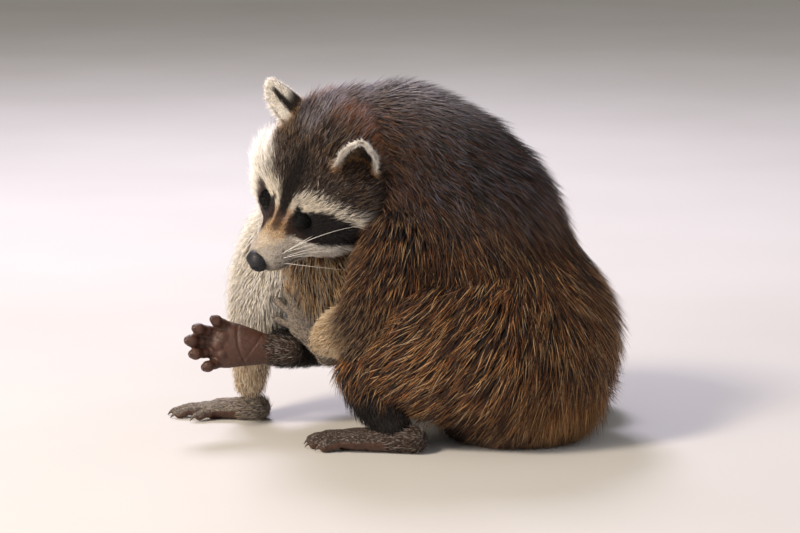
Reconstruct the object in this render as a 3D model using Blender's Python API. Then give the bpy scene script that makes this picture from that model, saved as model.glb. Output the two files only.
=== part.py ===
"""A life-size seated raccoon, resting on the floor with its head bowed and turned to its left.

Everything is in metres, +Z up. The floor is z = 0, and the raccoon faces -X, turned a little away.
The solids give the outside of the coat. The body is modelled whole in the animal's own frame, as
tubes that a voxel remesh melts together, and is then parted by thin cuts. Head, ears, paws and claws
are modelled on their own, each in its own frame, and let into their neighbours with a small gap.
"""

import math
from typing import NamedTuple

import bmesh
import bpy
import numpy as np
from mathutils import Matrix, Vector

# ---------------------------------------------------------------- driving sizes
CM = 0.01
BODY_YAW = math.radians(20)  # how far the body faces away from -X
BODY_SHIFT = 0.025  # the body stands this far towards +Y of the head
GAP = 0.0006  # clearance between neighbouring solids
BODY_VOXEL = 0.004
PAW_VOXEL = 0.0015
BODY_TRIANGLES = 1300
HEAD_TRIANGLES = 580
PAW_TRIANGLES = 250
SAME_PLACE = 1e-5  # corners this close are one
SAME_PLANE = math.radians(5)  # neighbouring facets this close in angle are made one

# Head frame: x to the nose, y to the animal's left, z to the crown; origin in the braincase.
HEAD_CENTRE = Vector((-0.071, -0.010, 0.2345))
HEAD_FORWARD = Vector((-0.680, -0.438, -0.583))
HEAD_LEFT = Vector((0.690, -0.646, -0.323))

EYE_CENTRE = (4.45, 2.25, -0.15)  # cm, left eye
EYE_RADIUS = 0.80
NOSE_CENTRE = (9.05, 0.0, -2.60)
NOSE_RADII = (0.95, 1.15, 1.05)
EAR_WIDTH, EAR_WALL = 2.10, 0.60


class Ear(NamedTuple):
    """How one ear is held, in head coordinates: root, height, way it leans and way its cup faces."""

    base: tuple[float, float, float]
    height: float
    lean: tuple[float, float, float]
    facing: tuple[float, float, float]


EARS = {
    "left": Ear((-1.45, 4.25, 2.65), 4.6, (-0.06, 0.40, 0.90), (0.80, 0.60, 0.0)),
    "right": Ear((-2.45, -3.65, 3.15), 5.4, (0.10, -0.51, 0.93), (0.40, -0.90, -0.10)),
}


# ---------------------------------------------------------------- frames
def body_point(forward, left, up):
    """World point of a place in the body's own frame: forward, to its left, and up."""
    c, s = math.cos(BODY_YAW), math.sin(BODY_YAW)
    return Vector((-c * forward - s * left, s * forward - c * left + BODY_SHIFT, up))


def body_way(forward, left, up):
    """World direction of a direction in the body's frame."""
    return body_point(forward, left, up) - body_point(0, 0, 0)


def head_matrix():
    """Turns head coordinates, in cm, into the world."""
    forward = HEAD_FORWARD.normalized()
    left = (HEAD_LEFT - forward * HEAD_LEFT.dot(forward)).normalized()
    crown = forward.cross(left)
    turn = Matrix((forward, left, crown)).transposed().to_4x4()
    return Matrix.Translation(HEAD_CENTRE) @ turn @ Matrix.Scale(CM, 4)


def paw_matrix(origin, forward, dorsal):
    """Turns paw coordinates, in cm, into the world: x to the toes, z to the back of the paw."""
    x = Vector(forward).normalized()
    z = Vector(dorsal)
    z = (z - x * z.dot(x)).normalized()
    turn = Matrix((x, z.cross(x), z)).transposed().to_4x4()
    return Matrix.Translation(origin) @ turn @ Matrix.Scale(CM, 4)


# ---------------------------------------------------------------- curves and meshes
def smooth_through(rows, count):
    """count rows on a Catmull-Rom curve through the given rows of numbers."""
    p = np.asarray(rows, float)
    p = np.vstack([2 * p[0] - p[1], p, 2 * p[-1] - p[-2]])
    t = np.linspace(0, len(p) - 3 - 1e-9, count)
    i = t.astype(int)
    t = (t - i)[:, None]
    a, b, c, d = p[i], p[i + 1], p[i + 2], p[i + 3]
    return 0.5 * (2 * b + (c - a) * t + (2 * a - 5 * b + 4 * c - d) * t**2 + (3 * b - a - 3 * c + d) * t**3)


def grid_mesh(name, rings, start, end):
    """Closed mesh of rings of points, with a fan to a pole at each end."""
    rings = np.asarray(rings, float)
    n, m = rings.shape[:2]
    points = [tuple(p) for p in rings.reshape(-1, 3)] + [tuple(start), tuple(end)]
    faces = []
    for i in range(n - 1):
        for j in range(m):
            k = (j + 1) % m
            faces.append((i * m + j, i * m + k, (i + 1) * m + k, (i + 1) * m + j))
    for j in range(m):
        k = (j + 1) % m
        faces.append((n * m, k, j))
        faces.append((n * m + 1, (n - 1) * m + j, (n - 1) * m + k))
    mesh = bpy.data.meshes.new(name)
    mesh.from_pydata(points, [], faces)
    outward(mesh)
    return mesh


def outward(mesh):
    """Turns all faces of a closed mesh outwards."""
    work = bmesh.new()
    work.from_mesh(mesh)
    bmesh.ops.recalc_face_normals(work, faces=work.faces)
    work.to_mesh(mesh)
    work.free()


def tube(name, stations, side, sides=20, rings=22):
    """Closed tube through stations of (x, y, z, half width along side, half depth), with round ends."""
    rows = smooth_through(stations, rings)
    centres, wide, deep = rows[:, :3], rows[:, 3], rows[:, 4]
    along = np.gradient(centres, axis=0)
    along /= np.linalg.norm(along, axis=1)[:, None]
    across = np.asarray(side, float) - (along @ np.asarray(side, float))[:, None] * along
    across /= np.linalg.norm(across, axis=1)[:, None]
    up = np.cross(along, across)
    turn = np.linspace(0, 2 * math.pi, sides, endpoint=False)
    out = []

    def ring(i, shift, scale):
        centre = centres[i] + along[i] * shift
        spread = np.outer(np.cos(turn), across[i] * wide[i] * scale)
        out.append(centre + spread + np.outer(np.sin(turn), up[i] * deep[i] * scale))

    dome = [math.radians(a) for a in (70, 45, 20)]
    first, last = min(wide[0], deep[0]), min(wide[-1], deep[-1])
    for a in dome:
        ring(0, -first * math.sin(a), math.cos(a))
    for i in range(rings):
        ring(i, 0, 1)
    for a in reversed(dome):
        ring(-1, last * math.sin(a), math.cos(a))
    return grid_mesh(name, out, centres[0] - along[0] * first, centres[-1] + along[-1] * last)


def ball(name, centre, radii, segments=20, rings=12, turn=None):
    """Ellipsoid mesh."""
    work = bmesh.new()
    bmesh.ops.create_uvsphere(work, u_segments=segments, v_segments=rings, radius=1.0)
    mesh = bpy.data.meshes.new(name)
    work.to_mesh(mesh)
    work.free()
    turn = turn or Matrix.Identity(4)
    mesh.transform(Matrix.Translation(centre) @ turn @ Matrix.Diagonal((*radii, 1)))
    return mesh


def joined(name, meshes):
    """All meshes as the loose shells of one, the given ones removed."""
    work = bmesh.new()
    for mesh in meshes:
        work.from_mesh(mesh)
        bpy.data.meshes.remove(mesh)
    out = bpy.data.meshes.new(name)
    work.to_mesh(out)
    work.free()
    return out


def with_modifiers(mesh, *modifiers):
    """The mesh after modifiers, each given as (type, {setting: value})."""
    holder = bpy.data.objects.new("holder", mesh)
    bpy.context.scene.collection.objects.link(holder)
    for kind, settings in modifiers:
        modifier = holder.modifiers.new(kind, kind)
        for key, value in settings.items():
            setattr(modifier, key, value)
    graph = bpy.context.evaluated_depsgraph_get()
    out = bpy.data.meshes.new_from_object(holder.evaluated_get(graph))
    bpy.data.objects.remove(holder, do_unlink=True)
    return out


def melted(mesh, voxel, smoothing, triangles):
    """Overlapping shells made one skin, smoothed and thinned to about that many triangles."""
    solid = with_modifiers(
        mesh,
        ("REMESH", {"mode": "VOXEL", "voxel_size": voxel, "adaptivity": 0.0}),
        ("SMOOTH", {"factor": 0.5, "iterations": smoothing}),
        ("TRIANGULATE", {}),
    )
    ratio = min(1.0, triangles / len(solid.polygons))
    return with_modifiers(solid, ("DECIMATE", {"ratio": ratio}))


def combined(mesh, tool, operation):
    """Boolean of two closed meshes. Where the exact solver loses the solid, the manifold one takes over."""
    other = bpy.data.objects.new("tool", tool)
    bpy.context.scene.collection.objects.link(other)
    whole, taken = volume(mesh), volume(tool)
    least = 0.9 * (whole - taken) if operation == "DIFFERENCE" else 0.0
    for solver in ("EXACT", "MANIFOLD"):
        settings = {"operation": operation, "object": other, "solver": solver}
        out = largest_body(with_modifiers(mesh, ("BOOLEAN", settings), ("TRIANGULATE", {})))
        if volume(out) > least:
            break
    bpy.data.objects.remove(other, do_unlink=True)
    return out


def volume(mesh):
    """Volume of a closed mesh, or 0 where it isn't closed."""
    work = bmesh.new()
    work.from_mesh(mesh)
    closed = all(edge.is_manifold for edge in work.edges) and all(vert.is_manifold for vert in work.verts)
    inside = work.calc_volume() if closed else 0.0
    work.free()
    return inside


def largest_body(mesh):
    """The mesh with doubles merged and only its largest closed body kept."""
    work = bmesh.new()
    work.from_mesh(mesh)
    bmesh.ops.remove_doubles(work, verts=work.verts, dist=SAME_PLACE)
    bmesh.ops.dissolve_degenerate(work, edges=work.edges, dist=SAME_PLACE)
    bmesh.ops.triangulate(work, faces=work.faces)
    left, bodies = set(work.verts), []
    while left:
        todo = [left.pop()]
        found = set(todo)
        while todo:
            for edge in todo.pop().link_edges:
                for vert in edge.verts:
                    if vert not in found:
                        found.add(vert)
                        todo.append(vert)
        left -= found
        bodies.append(found)
    bodies.sort(key=len)
    for body in bodies[:-1]:
        bmesh.ops.delete(work, geom=list(body), context="VERTS")
    out = bpy.data.meshes.new(mesh.name)
    work.to_mesh(out)
    work.free()
    return out


def grown(mesh, by):
    """A copy with each vertex moved out along its normal."""
    out = mesh.copy()
    normals = np.empty(len(mesh.vertices) * 3, np.float32)
    out.vertex_normals.foreach_get("vector", normals)
    places = np.empty_like(normals)
    out.vertices.foreach_get("co", places)
    out.vertices.foreach_set("co", places + normals * by)
    return out


# ---------------------------------------------------------------- the body, in the body's frame
# Stations are (forward, left, up, half width, half depth). Depth is in the plane of bending.
TRUNK = (
    (-0.113, 0.000, 0.060, 0.096, 0.088),
    (-0.111, 0.000, 0.094, 0.106, 0.094),
    (-0.087, 0.000, 0.146, 0.101, 0.084),
    (-0.058, 0.000, 0.192, 0.094, 0.091),
    (-0.018, 0.000, 0.222, 0.084, 0.086),
)
NECK = (
    (-0.036, 0.000, 0.222, 0.080, 0.082),
    (0.004, 0.004, 0.244, 0.074, 0.076),
    (0.036, 0.020, 0.250, 0.064, 0.066),
)
CHEST = (
    (0.060, 0.010, 0.200, 0.050, 0.046),
    (0.068, 0.006, 0.165, 0.054, 0.046),
    (0.034, 0.000, 0.122, 0.062, 0.056),
    (-0.030, 0.000, 0.082, 0.076, 0.066),
)
TAIL = (
    (-0.115, -0.020, 0.062, 0.034, 0.034),
    (-0.142, -0.068, 0.036, 0.034, 0.034),
    (-0.128, -0.120, 0.0325, 0.036, 0.036),
    (-0.078, -0.158, 0.0325, 0.036, 0.036),
    (-0.010, -0.172, 0.0305, 0.034, 0.034),
    (0.052, -0.168, 0.0240, 0.025, 0.026),
)
FORELEG_LEFT = (
    (-0.036, 0.062, 0.185, 0.042, 0.050),
    (-0.020, 0.084, 0.150, 0.034, 0.040),
    (-0.004, 0.102, 0.114, 0.028, 0.031),
    (0.030, 0.076, 0.097, 0.023, 0.025),
    (0.058, 0.045, 0.082, 0.0160, 0.0170),
)
FORELEG_RIGHT = (
    (0.005, -0.048, 0.200, 0.042, 0.048),
    (0.060, -0.034, 0.192, 0.041, 0.043),
    (0.108, -0.007, 0.171, 0.038, 0.039),
    (0.129, 0.010, 0.131, 0.033, 0.033),
    (0.136, 0.018, 0.085, 0.025, 0.026),
    (0.138, 0.024, 0.032, 0.0155, 0.0165),
)
THIGH_LEFT = (
    (-0.110, 0.060, 0.100, 0.062, 0.078),
    (-0.060, 0.078, 0.090, 0.050, 0.070),
    (-0.015, 0.090, 0.074, 0.036, 0.048),
)
SHANK_LEFT = (
    (-0.005, 0.094, 0.070, 0.034, 0.036),
    (-0.012, 0.098, 0.046, 0.026, 0.028),
    (-0.030, 0.102, 0.024, 0.018, 0.019),
)
THIGH_RIGHT = (
    (-0.105, -0.058, 0.095, 0.060, 0.075),
    (-0.030, -0.086, 0.096, 0.050, 0.058),
    (0.042, -0.082, 0.088, 0.038, 0.042),
)
SHANK_RIGHT = (
    (0.048, -0.072, 0.084, 0.036, 0.037),
    (0.078, -0.014, 0.072, 0.027, 0.028),
    (0.099, 0.044, 0.071, 0.019, 0.020),
)


def placed(stations):
    """Stations with their places turned from the body's frame into the world."""
    return [(*body_point(f, s, u), w, d) for f, s, u, w, d in stations]


def whole_body():
    """Trunk, neck, chest, tail and legs as one closed skin, flat underneath."""
    left = tuple(body_way(0, 1, 0))
    up = (0, 0, 1)
    shapes = (
        ("trunk", TRUNK, left),
        ("neck", NECK, left),
        ("chest", CHEST, left),
        ("tail", TAIL, up),
        ("foreleg_left", FORELEG_LEFT, left),
        ("foreleg_right", FORELEG_RIGHT, left),
        ("thigh_left", THIGH_LEFT, left),
        ("shank_left", SHANK_LEFT, left),
        ("thigh_right", THIGH_RIGHT, left),
        ("shank_right", SHANK_RIGHT, up),
    )
    tubes = [tube(name, placed(stations), side) for name, stations, side in shapes]
    return melted(joined("body", tubes), BODY_VOXEL, 14, BODY_TRIANGLES)


# ---------------------------------------------------------------- head
# Stations along the head, in cm: x, top, bottom, half width, height of the widest place.
HEAD_STATIONS = (
    (9.15, -1.90, -3.60, 0.95, -2.65),
    (8.70, -1.40, -4.20, 1.45, -2.80),
    (7.80, -0.85, -4.65, 1.95, -2.95),
    (6.60, -0.20, -4.95, 2.25, -3.00),
    (5.50, 0.45, -5.25, 2.95, -2.95),
    (4.70, 1.25, -5.50, 4.10, -2.85),
    (3.90, 2.15, -5.80, 5.30, -2.65),
    (2.60, 3.20, -6.10, 6.40, -2.40),
    (0.80, 4.40, -6.45, 7.25, -2.00),
    (-1.20, 5.30, -6.60, 7.45, -1.60),
    (-3.20, 5.60, -6.30, 6.90, -1.10),
    (-4.90, 5.10, -5.50, 5.70, -0.70),
    (-6.10, 3.60, -3.90, 3.80, -0.50),
)
HEAD_CORE = np.array([1.0, 0.0, -1.5])  # cm, the place that hollows are pressed towards
EYE_PROUD = 0.50  # cm, height of the coat over an eye's centre
HOLLOW_WIDTH = 1.15


def head_mesh(rings=30, sides=44):
    """The head's outside, in head coordinates: pinched half ellipses, pressed in at the eyes."""
    rows = smooth_through(HEAD_STATIONS, rings)
    turn = np.linspace(-math.pi, math.pi, sides, endpoint=False)
    side, lift = np.cos(turn), np.sin(turn)
    top, bottom, wide, level = rows[:, 1:2], rows[:, 2:3], rows[:, 3:4], rows[:, 4:5]
    height = np.where(lift[None, :] > 0, top - level, level - bottom)
    pinch = np.where(lift[None, :] > 0, 1 + 0.5 * np.clip((rows[:, :1] - 1) / 3, 0, 1), 1.0)
    x = np.repeat(rows[:, :1], sides, axis=1)
    y = wide * np.sign(side) * np.abs(side)[None, :] ** pinch
    z = level + height * lift[None, :]
    points = np.stack([x, y, z], axis=2)
    for mirror in (1, -1):
        ray = np.array(EYE_CENTRE) * (1, mirror, 1) - HEAD_CORE
        reach = np.linalg.norm(ray) + EYE_PROUD
        ray /= np.linalg.norm(ray)
        out = points - HEAD_CORE
        far = np.linalg.norm(out, axis=2)
        beside = np.linalg.norm(out - (out @ ray)[..., None] * ray, axis=2)
        press = np.exp(-((beside / HOLLOW_WIDTH) ** 2)) * (out @ ray > 0) * np.clip(far - reach, 0, None)
        points -= out * (press / far)[..., None]
    front = (rows[0, 0] + 0.25, 0, rows[0, 4])
    back = (rows[-1, 0] - 0.5, 0, rows[-1, 4])
    fine = with_modifiers(grid_mesh("head", points, front, back), ("TRIANGULATE", {}))
    return with_modifiers(fine, ("DECIMATE", {"ratio": HEAD_TRIANGLES / len(fine.polygons)}))


def ear_mesh(ear, across=7, up=6):
    """A cupped ear as one closed wall: an arc across, with a round tip, thinner to the edge."""
    lean = Vector(ear.lean).normalized()
    facing = Vector(ear.facing)
    facing = (facing - lean * facing.dot(lean)).normalized()
    aside = lean.cross(facing)
    half_arc = math.radians(64)
    base = Vector(ear.base)

    def point(u, v, front):
        width = EAR_WIDTH * (0.80 + 0.28 * v - 0.10 * v * v) * math.sqrt(1 - abs(v) ** 2.6)
        radius = width / math.sin(half_arc)
        wall = EAR_WALL * (0.35 + 0.65 * (1 - v)) * (1 - 0.6 * u * u)
        s = radius * math.sin(half_arc * u)
        f = radius * (1 - math.cos(half_arc * u)) - 0.25 * radius + (wall / 2 if front else -wall / 2)
        return base + lean * (ear.height * v) + aside * s + facing * f

    rings = []
    for k in range(up):
        v = 0.985 * math.sin(math.radians(90) * k / (up - 1))
        us = [-1 + 2 * i / (across - 1) for i in range(across)]
        rings.append([point(u, v, True) for u in us] + [point(u, v, False) for u in reversed(us)])
    return grid_mesh("ear", rings, point(0, -0.04, False), point(0, 1.0, False))


# ---------------------------------------------------------------- paws
# Digits, in cm: base x, base y towards the thumb's side, heading in degrees, length, radius.
FORE_DIGITS = (
    (1.9, 1.25, 36, 2.1, 0.40),
    (3.0, 0.85, 13, 2.9, 0.42),
    (3.3, 0.22, 2, 3.2, 0.43),
    (3.1, -0.45, -9, 3.0, 0.42),
    (2.4, -1.10, -24, 2.4, 0.40),
)
HIND_DIGITS = (
    (4.6, 1.70, 24, 1.9, 0.56),
    (5.7, 1.10, 9, 2.3, 0.58),
    (6.1, 0.25, 0, 2.5, 0.60),
    (5.8, -0.65, -9, 2.3, 0.58),
    (4.9, -1.45, -21, 2.0, 0.56),
)
PHALANGES = (0.46, 0.30, 0.24)
CLAW_LENGTH, CLAW_RADIUS = 1.05, 0.17


def digit_path(digit, inside, curl):
    """Places along one digit, from inside the palm to its tip, bending down by curl at each joint."""
    x, y, heading, length, _ = digit
    angle = math.radians(heading) * inside
    out = Vector((math.cos(angle), math.sin(angle), 0))
    place = Vector((x, y * inside, 0.0))
    path = [place - out * 1.0, place]
    pitch = 0.0
    for share, bend in zip(PHALANGES, curl):
        pitch += math.radians(bend)
        place = place + (out * math.cos(pitch) - Vector((0, 0, math.sin(pitch)))) * (length * share)
        path.append(place)
    return path, out, pitch


def claw_mesh(start, ahead, above):
    """A curved, tapering claw, five-sided, in paw coordinates."""
    aside = above.cross(ahead)
    rings = []
    for share in (0.0, 0.3, 0.6, 0.85):
        centre = start + ahead * (CLAW_LENGTH * share) - above * (0.42 * share * share)
        wide = CLAW_RADIUS * (1 - 0.8 * share)
        turns = [2 * math.pi * k / 5 for k in range(5)]
        rings.append([centre + aside * (0.8 * wide * math.cos(t)) + above * (1.25 * wide * math.sin(t)) for t in turns])
    point = start + ahead * CLAW_LENGTH - above * 0.42
    return grid_mesh("claw", rings, start - ahead * 0.08, point)


def paw_parts(kind, inside, curl):
    """(paw mesh, claw meshes) in paw coordinates. inside is 1 where the thumb lies towards +y."""
    fore = kind == "fore"
    digits = FORE_DIGITS if fore else HIND_DIGITS
    shells, claws = [], []
    if fore:
        palm = ((-0.9, 0, 0.1, 1.35, 1.15), (0.6, 0, 0, 1.45, 0.95), (2.2, 0, 0, 1.75, 0.80), (3.1, 0, -0.05, 1.35, 0.55))
    else:
        palm = (
            (-0.6, 0, 0.2, 1.15, 1.15),
            (1.2, 0, 0.1, 1.45, 1.10),
            (3.4, 0.1 * inside, 0, 1.95, 1.00),
            (4.9, 0.1 * inside, 0, 2.15, 0.85),
            (5.7, 0.1 * inside, -0.05, 1.50, 0.60),
        )
    shells.append(tube("palm", palm, (0, 1, 0), sides=16, rings=12))
    for digit in digits:
        path, out, pitch = digit_path(digit, inside, curl)
        radius = digit[4]
        taper = (1.0, 1.0, 0.92, 0.95, 0.80)
        stations = [(*p, radius * t, radius * t) for p, t in zip(path, taper)]
        shells.append(tube("digit", stations, (-out.y, out.x, 0), sides=10, rings=9))
        tip = path[-1]
        ahead = out * math.cos(pitch) - Vector((0, 0, math.sin(pitch)))
        above = out * math.sin(pitch) + Vector((0, 0, math.cos(pitch)))
        shells.append(ball("pad", tip - ahead * 0.25 - above * 0.22, (radius * 1.05,) * 3, 10, 7))
        claws.append(claw_mesh(tip + above * 0.16 - ahead * 0.25, ahead, above))
    ball_x = 2.5 if fore else 5.0
    for x, y, r in ((ball_x, 0.75, 0.62), (ball_x + 0.35, 0.0, 0.66), (ball_x - 0.05, -0.75, 0.60), (ball_x - 1.3, 0.0, 0.85)):
        shells.append(ball("pad", (x, y * inside, -0.42), (r * 1.1, r, 0.55), 10, 7))
    paw = melted(joined("paw", shells), PAW_VOXEL / CM, 5, PAW_TRIANGLES)
    return paw, claws


CURLS = {"flat": (4, 6, 8), "resting": (14, 22, 20), "holding": (12, 16, 14)}


def paws():
    """name -> (kind, thumb side, curl, matrix) of the four paws."""
    return {
        "forepaw_right": (
            "fore",
            1,
            "flat",
            paw_matrix(body_point(0.146, 0.026, 0.0088), body_way(1, 0.10, 0), (0, 0, 1)),
        ),
        "forepaw_left": (
            "fore",
            -1,
            "holding",
            paw_matrix(body_point(0.060, 0.043, 0.083), (-0.66, 0.23, 0.72), (-0.10, -0.97, 0.22)),
        ),
        "hindpaw_left": (
            "hind",
            -1,
            "flat",
            paw_matrix(body_point(-0.040, 0.104, 0.0092), body_way(1, 0.06, 0), (0, 0, 1)),
        ),
        "hindpaw_right": (
            "hind",
            1,
            "resting",
            paw_matrix((-0.111, 0.006, 0.073), (-0.98, -0.08, 0.10), (0.05, 0.98, -0.16)),
        ),
    }


# ---------------------------------------------------------------- parting and finishing
def region(centre, radii):
    """Ellipsoid, in the body's frame, that takes one part out of the body."""
    turn = Matrix.Rotation(math.pi - BODY_YAW, 4, "Z")
    return ball("region", body_point(*centre), radii, 12, 8, turn)


# name, centre (forward, left, up) and radii.
REGIONS = (
    ("tail_tip", (0.022, -0.180, 0.030), (0.080, 0.062, 0.060)),
    ("tail_base", (-0.112, -0.130, 0.035), (0.085, 0.078, 0.062)),
    ("shank_left", (-0.014, 0.106, 0.030), (0.050, 0.050, 0.044)),
    ("thigh_left", (-0.064, 0.110, 0.082), (0.085, 0.064, 0.084)),
    ("shank_right", (0.090, -0.005, 0.068), (0.042, 0.074, 0.042)),
    ("thigh_right", (-0.004, -0.110, 0.086), (0.095, 0.066, 0.072)),
    ("upper_arm_left", (-0.020, 0.102, 0.140), (0.050, 0.050, 0.068)),
    ("forearm_left", (0.046, 0.064, 0.094), (0.052, 0.050, 0.038)),
    ("forearm_right", (0.142, 0.018, 0.066), (0.054, 0.054, 0.072)),
    ("upper_arm_right", (0.104, -0.020, 0.168), (0.080, 0.062, 0.062)),
    ("neck", (0.030, 0.015, 0.235), (0.052, 0.110, 0.100)),
)

FINISHES = {
    "coat": ((0.16, 0.10, 0.06), 0.85),
    "pale_coat": ((0.75, 0.66, 0.55), 0.85),
    "leather": ((0.10, 0.065, 0.05), 0.50),
    "nose": ((0.03, 0.03, 0.035), 0.35),
    "eye": ((0.02, 0.012, 0.008), 0.08),
    "claw": ((0.16, 0.13, 0.12), 0.40),
}


MERGED_FINISHES = ("coat", "leather")  # the parts that were cut up, and so hold needless facets


def material(name):
    """Principled material of a named finish."""
    found = bpy.data.materials.get(name)
    if found:
        return found
    made = bpy.data.materials.new(name)
    made.use_nodes = True
    shader = made.node_tree.nodes["Principled BSDF"]
    colour, roughness = FINISHES[name]
    shader.inputs["Base Color"].default_value = (*colour, 1)
    shader.inputs["Roughness"].default_value = roughness
    shader.inputs["Metallic"].default_value = 0.0
    made.diffuse_color = (*colour, 1)
    return made


def fewer_facets(mesh):
    """Merges facets that nearly share a plane, without moving a corner, where the mesh stays closed."""
    work = bmesh.new()
    work.from_mesh(mesh)
    bmesh.ops.dissolve_limit(work, angle_limit=SAME_PLANE, verts=work.verts, edges=work.edges)
    bmesh.ops.triangulate(work, faces=work.faces)
    bmesh.ops.remove_doubles(work, verts=work.verts, dist=SAME_PLACE)
    bmesh.ops.dissolve_degenerate(work, edges=work.edges, dist=SAME_PLACE)
    bmesh.ops.triangulate(work, faces=work.faces)
    if all(edge.is_manifold for edge in work.edges) and all(vert.is_manifold for vert in work.verts):
        work.to_mesh(mesh)
    work.free()


def add_part(name, mesh, finish):
    """Links one finished solid to the scene."""
    if finish in MERGED_FINISHES:
        fewer_facets(mesh)
    mesh.name = name
    mesh.shade_smooth()
    mesh.set_sharp_from_angle(angle=math.radians(40))
    mesh.materials.clear()
    mesh.materials.append(material(finish))
    part = bpy.data.objects.new(name, mesh)
    bpy.context.scene.collection.objects.link(part)
    return part


def floor_cut(mesh):
    """The mesh without what lies under the floor, so that it rests on a flat."""
    work = bmesh.new()
    bmesh.ops.create_cube(work, size=1.0)
    slab = bpy.data.meshes.new("floor")
    work.to_mesh(slab)
    work.free()
    slab.transform(Matrix.Translation((0, 0, -0.5)))
    return combined(mesh, slab, "DIFFERENCE")


def centre_on_floor():
    """Moves all parts so that the middle of their common box, at floor level, is the origin."""
    parts = [part for part in bpy.data.objects if part.type == "MESH"]
    places = np.concatenate([[tuple(vert.co) for vert in part.data.vertices] for part in parts])
    low, high = places.min(axis=0), places.max(axis=0)
    shift = Matrix.Translation((-(low[0] + high[0]) / 2, -(low[1] + high[1]) / 2, -low[2]))
    for part in parts:
        part.data.transform(shift)
    bpy.context.view_layer.update()


def build():
    """Makes every part of the raccoon."""
    for old in list(bpy.data.objects):
        bpy.data.objects.remove(old, do_unlink=True)
    to_world = head_matrix()
    body = floor_cut(whole_body())

    head = head_mesh()
    head.transform(to_world)
    eyes, ears = {}, {}
    for side, mirror in (("left", 1), ("right", -1)):
        centre = Vector((EYE_CENTRE[0], EYE_CENTRE[1] * mirror, EYE_CENTRE[2]))
        eye = ball("eye", centre, (EYE_RADIUS,) * 3, 10, 7)
        eye.transform(to_world)
        eyes[side] = eye
        ear = ear_mesh(EARS[side])
        ear.transform(to_world)
        ears[side] = ear
    nose = ball("nose", NOSE_CENTRE, NOSE_RADII, 10, 7)
    nose.transform(to_world)

    body = combined(body, grown(head, 2 * GAP), "DIFFERENCE")
    for tool in (*eyes.values(), nose):
        head = combined(head, grown(tool, GAP), "DIFFERENCE")
    for ear in ears.values():
        head = combined(head, grown(ear, 3 * GAP), "DIFFERENCE")
    for side, ear in ears.items():
        add_part(f"ear_{side}", ear, "pale_coat")
        body = combined(body, grown(ear, GAP), "DIFFERENCE")
        add_part(f"eye_{side}", eyes[side], "eye")
    add_part("nose", nose, "nose")
    add_part("head", head, "coat")

    for name, (kind, inside, curl, matrix) in paws().items():
        paw, claws = paw_parts(kind, inside, CURLS[curl])
        paw.transform(matrix)
        paw = floor_cut(paw)
        body = combined(body, grown(paw, 2 * GAP), "DIFFERENCE")
        for number, claw in enumerate(claws, 1):
            claw.transform(matrix)
            claw = floor_cut(claw)
            paw = combined(paw, grown(claw, GAP), "DIFFERENCE")
            body = combined(body, grown(claw, GAP), "DIFFERENCE")
            add_part(f"{name}_claw_{number}", claw, "claw")
        add_part(name, paw, "leather")

    for name, centre, radii in REGIONS:
        cutter = region(centre, radii)
        part = combined(body.copy(), cutter.copy(), "INTERSECT")
        body = combined(body, grown(cutter, GAP), "DIFFERENCE")
        add_part(name, part, "coat")
    add_part("trunk", body, "coat")
    centre_on_floor()


build()
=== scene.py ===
"""The looks of a life-size seated raccoon: skin, eyes, nose, claws, whiskers and a coat of solid tufts.

The solids of the frame give the outside of the coat. The skin here repeats their shapes, drawn in by the
depth of the coat, and the coat's tufts grow from it and end at those outsides. Head, ears and paws are
worked out in centimetres in frames of their own, the rest of the body in metres.
"""

import logging
import math
from dataclasses import dataclass, field
from enum import Enum
from typing import Callable

import bpy
import numpy as np
from mathutils import Matrix, Vector

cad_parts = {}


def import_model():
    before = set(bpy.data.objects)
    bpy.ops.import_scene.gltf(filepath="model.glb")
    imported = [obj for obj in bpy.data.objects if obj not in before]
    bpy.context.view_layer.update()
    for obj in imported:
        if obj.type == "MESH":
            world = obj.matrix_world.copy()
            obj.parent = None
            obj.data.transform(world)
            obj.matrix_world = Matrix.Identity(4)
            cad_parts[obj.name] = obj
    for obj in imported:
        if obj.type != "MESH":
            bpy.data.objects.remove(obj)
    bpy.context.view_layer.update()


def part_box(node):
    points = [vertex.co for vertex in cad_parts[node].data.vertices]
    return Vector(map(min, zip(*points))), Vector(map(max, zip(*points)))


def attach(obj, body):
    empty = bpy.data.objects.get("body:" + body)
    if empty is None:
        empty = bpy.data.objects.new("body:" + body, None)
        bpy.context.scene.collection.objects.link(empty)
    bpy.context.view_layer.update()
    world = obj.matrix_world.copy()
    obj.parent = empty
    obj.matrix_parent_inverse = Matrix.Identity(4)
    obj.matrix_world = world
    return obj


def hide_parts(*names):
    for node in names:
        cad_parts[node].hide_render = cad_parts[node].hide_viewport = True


Array = np.ndarray
LOG = logging.getLogger("raccoon")
CM = 0.01
MM = 0.001
BODY_YAW = math.radians(20)  # turn of the animal's frame about the vertical
BODY_SHIFT = 0.025  # of that frame's origin, along y
FLOOR_GAP = 0.0004  # least height of any corner over the floor
FLOOR_HAIR = 0.002  # no hair is rooted lower
PARTING = 0.01  # where the coats of the two flanks meet, to the left of the middle
FACE_END = 2.4  # head centimetres, where face and mane meet
MOST_TUFTS = 19500  # keeps a piece under 200,000 triangles
ROOT_DEPTH = 0.0005  # how far a tuft's root is sunk in the skin
HAIR_LENGTHS = {  # millimetres at a form's first and last station
    "trunk": (42, 38),
    "neck": (34, 24),
    "chest": (24, 30),
    "tail": (38, 34),
    "foreleg": (28, 9),
    "thigh": (40, 26),
    "shank": (20, 8),
}
TUFT_PATCH = 0.003  # side of a tuft's patch on the bake map


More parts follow.
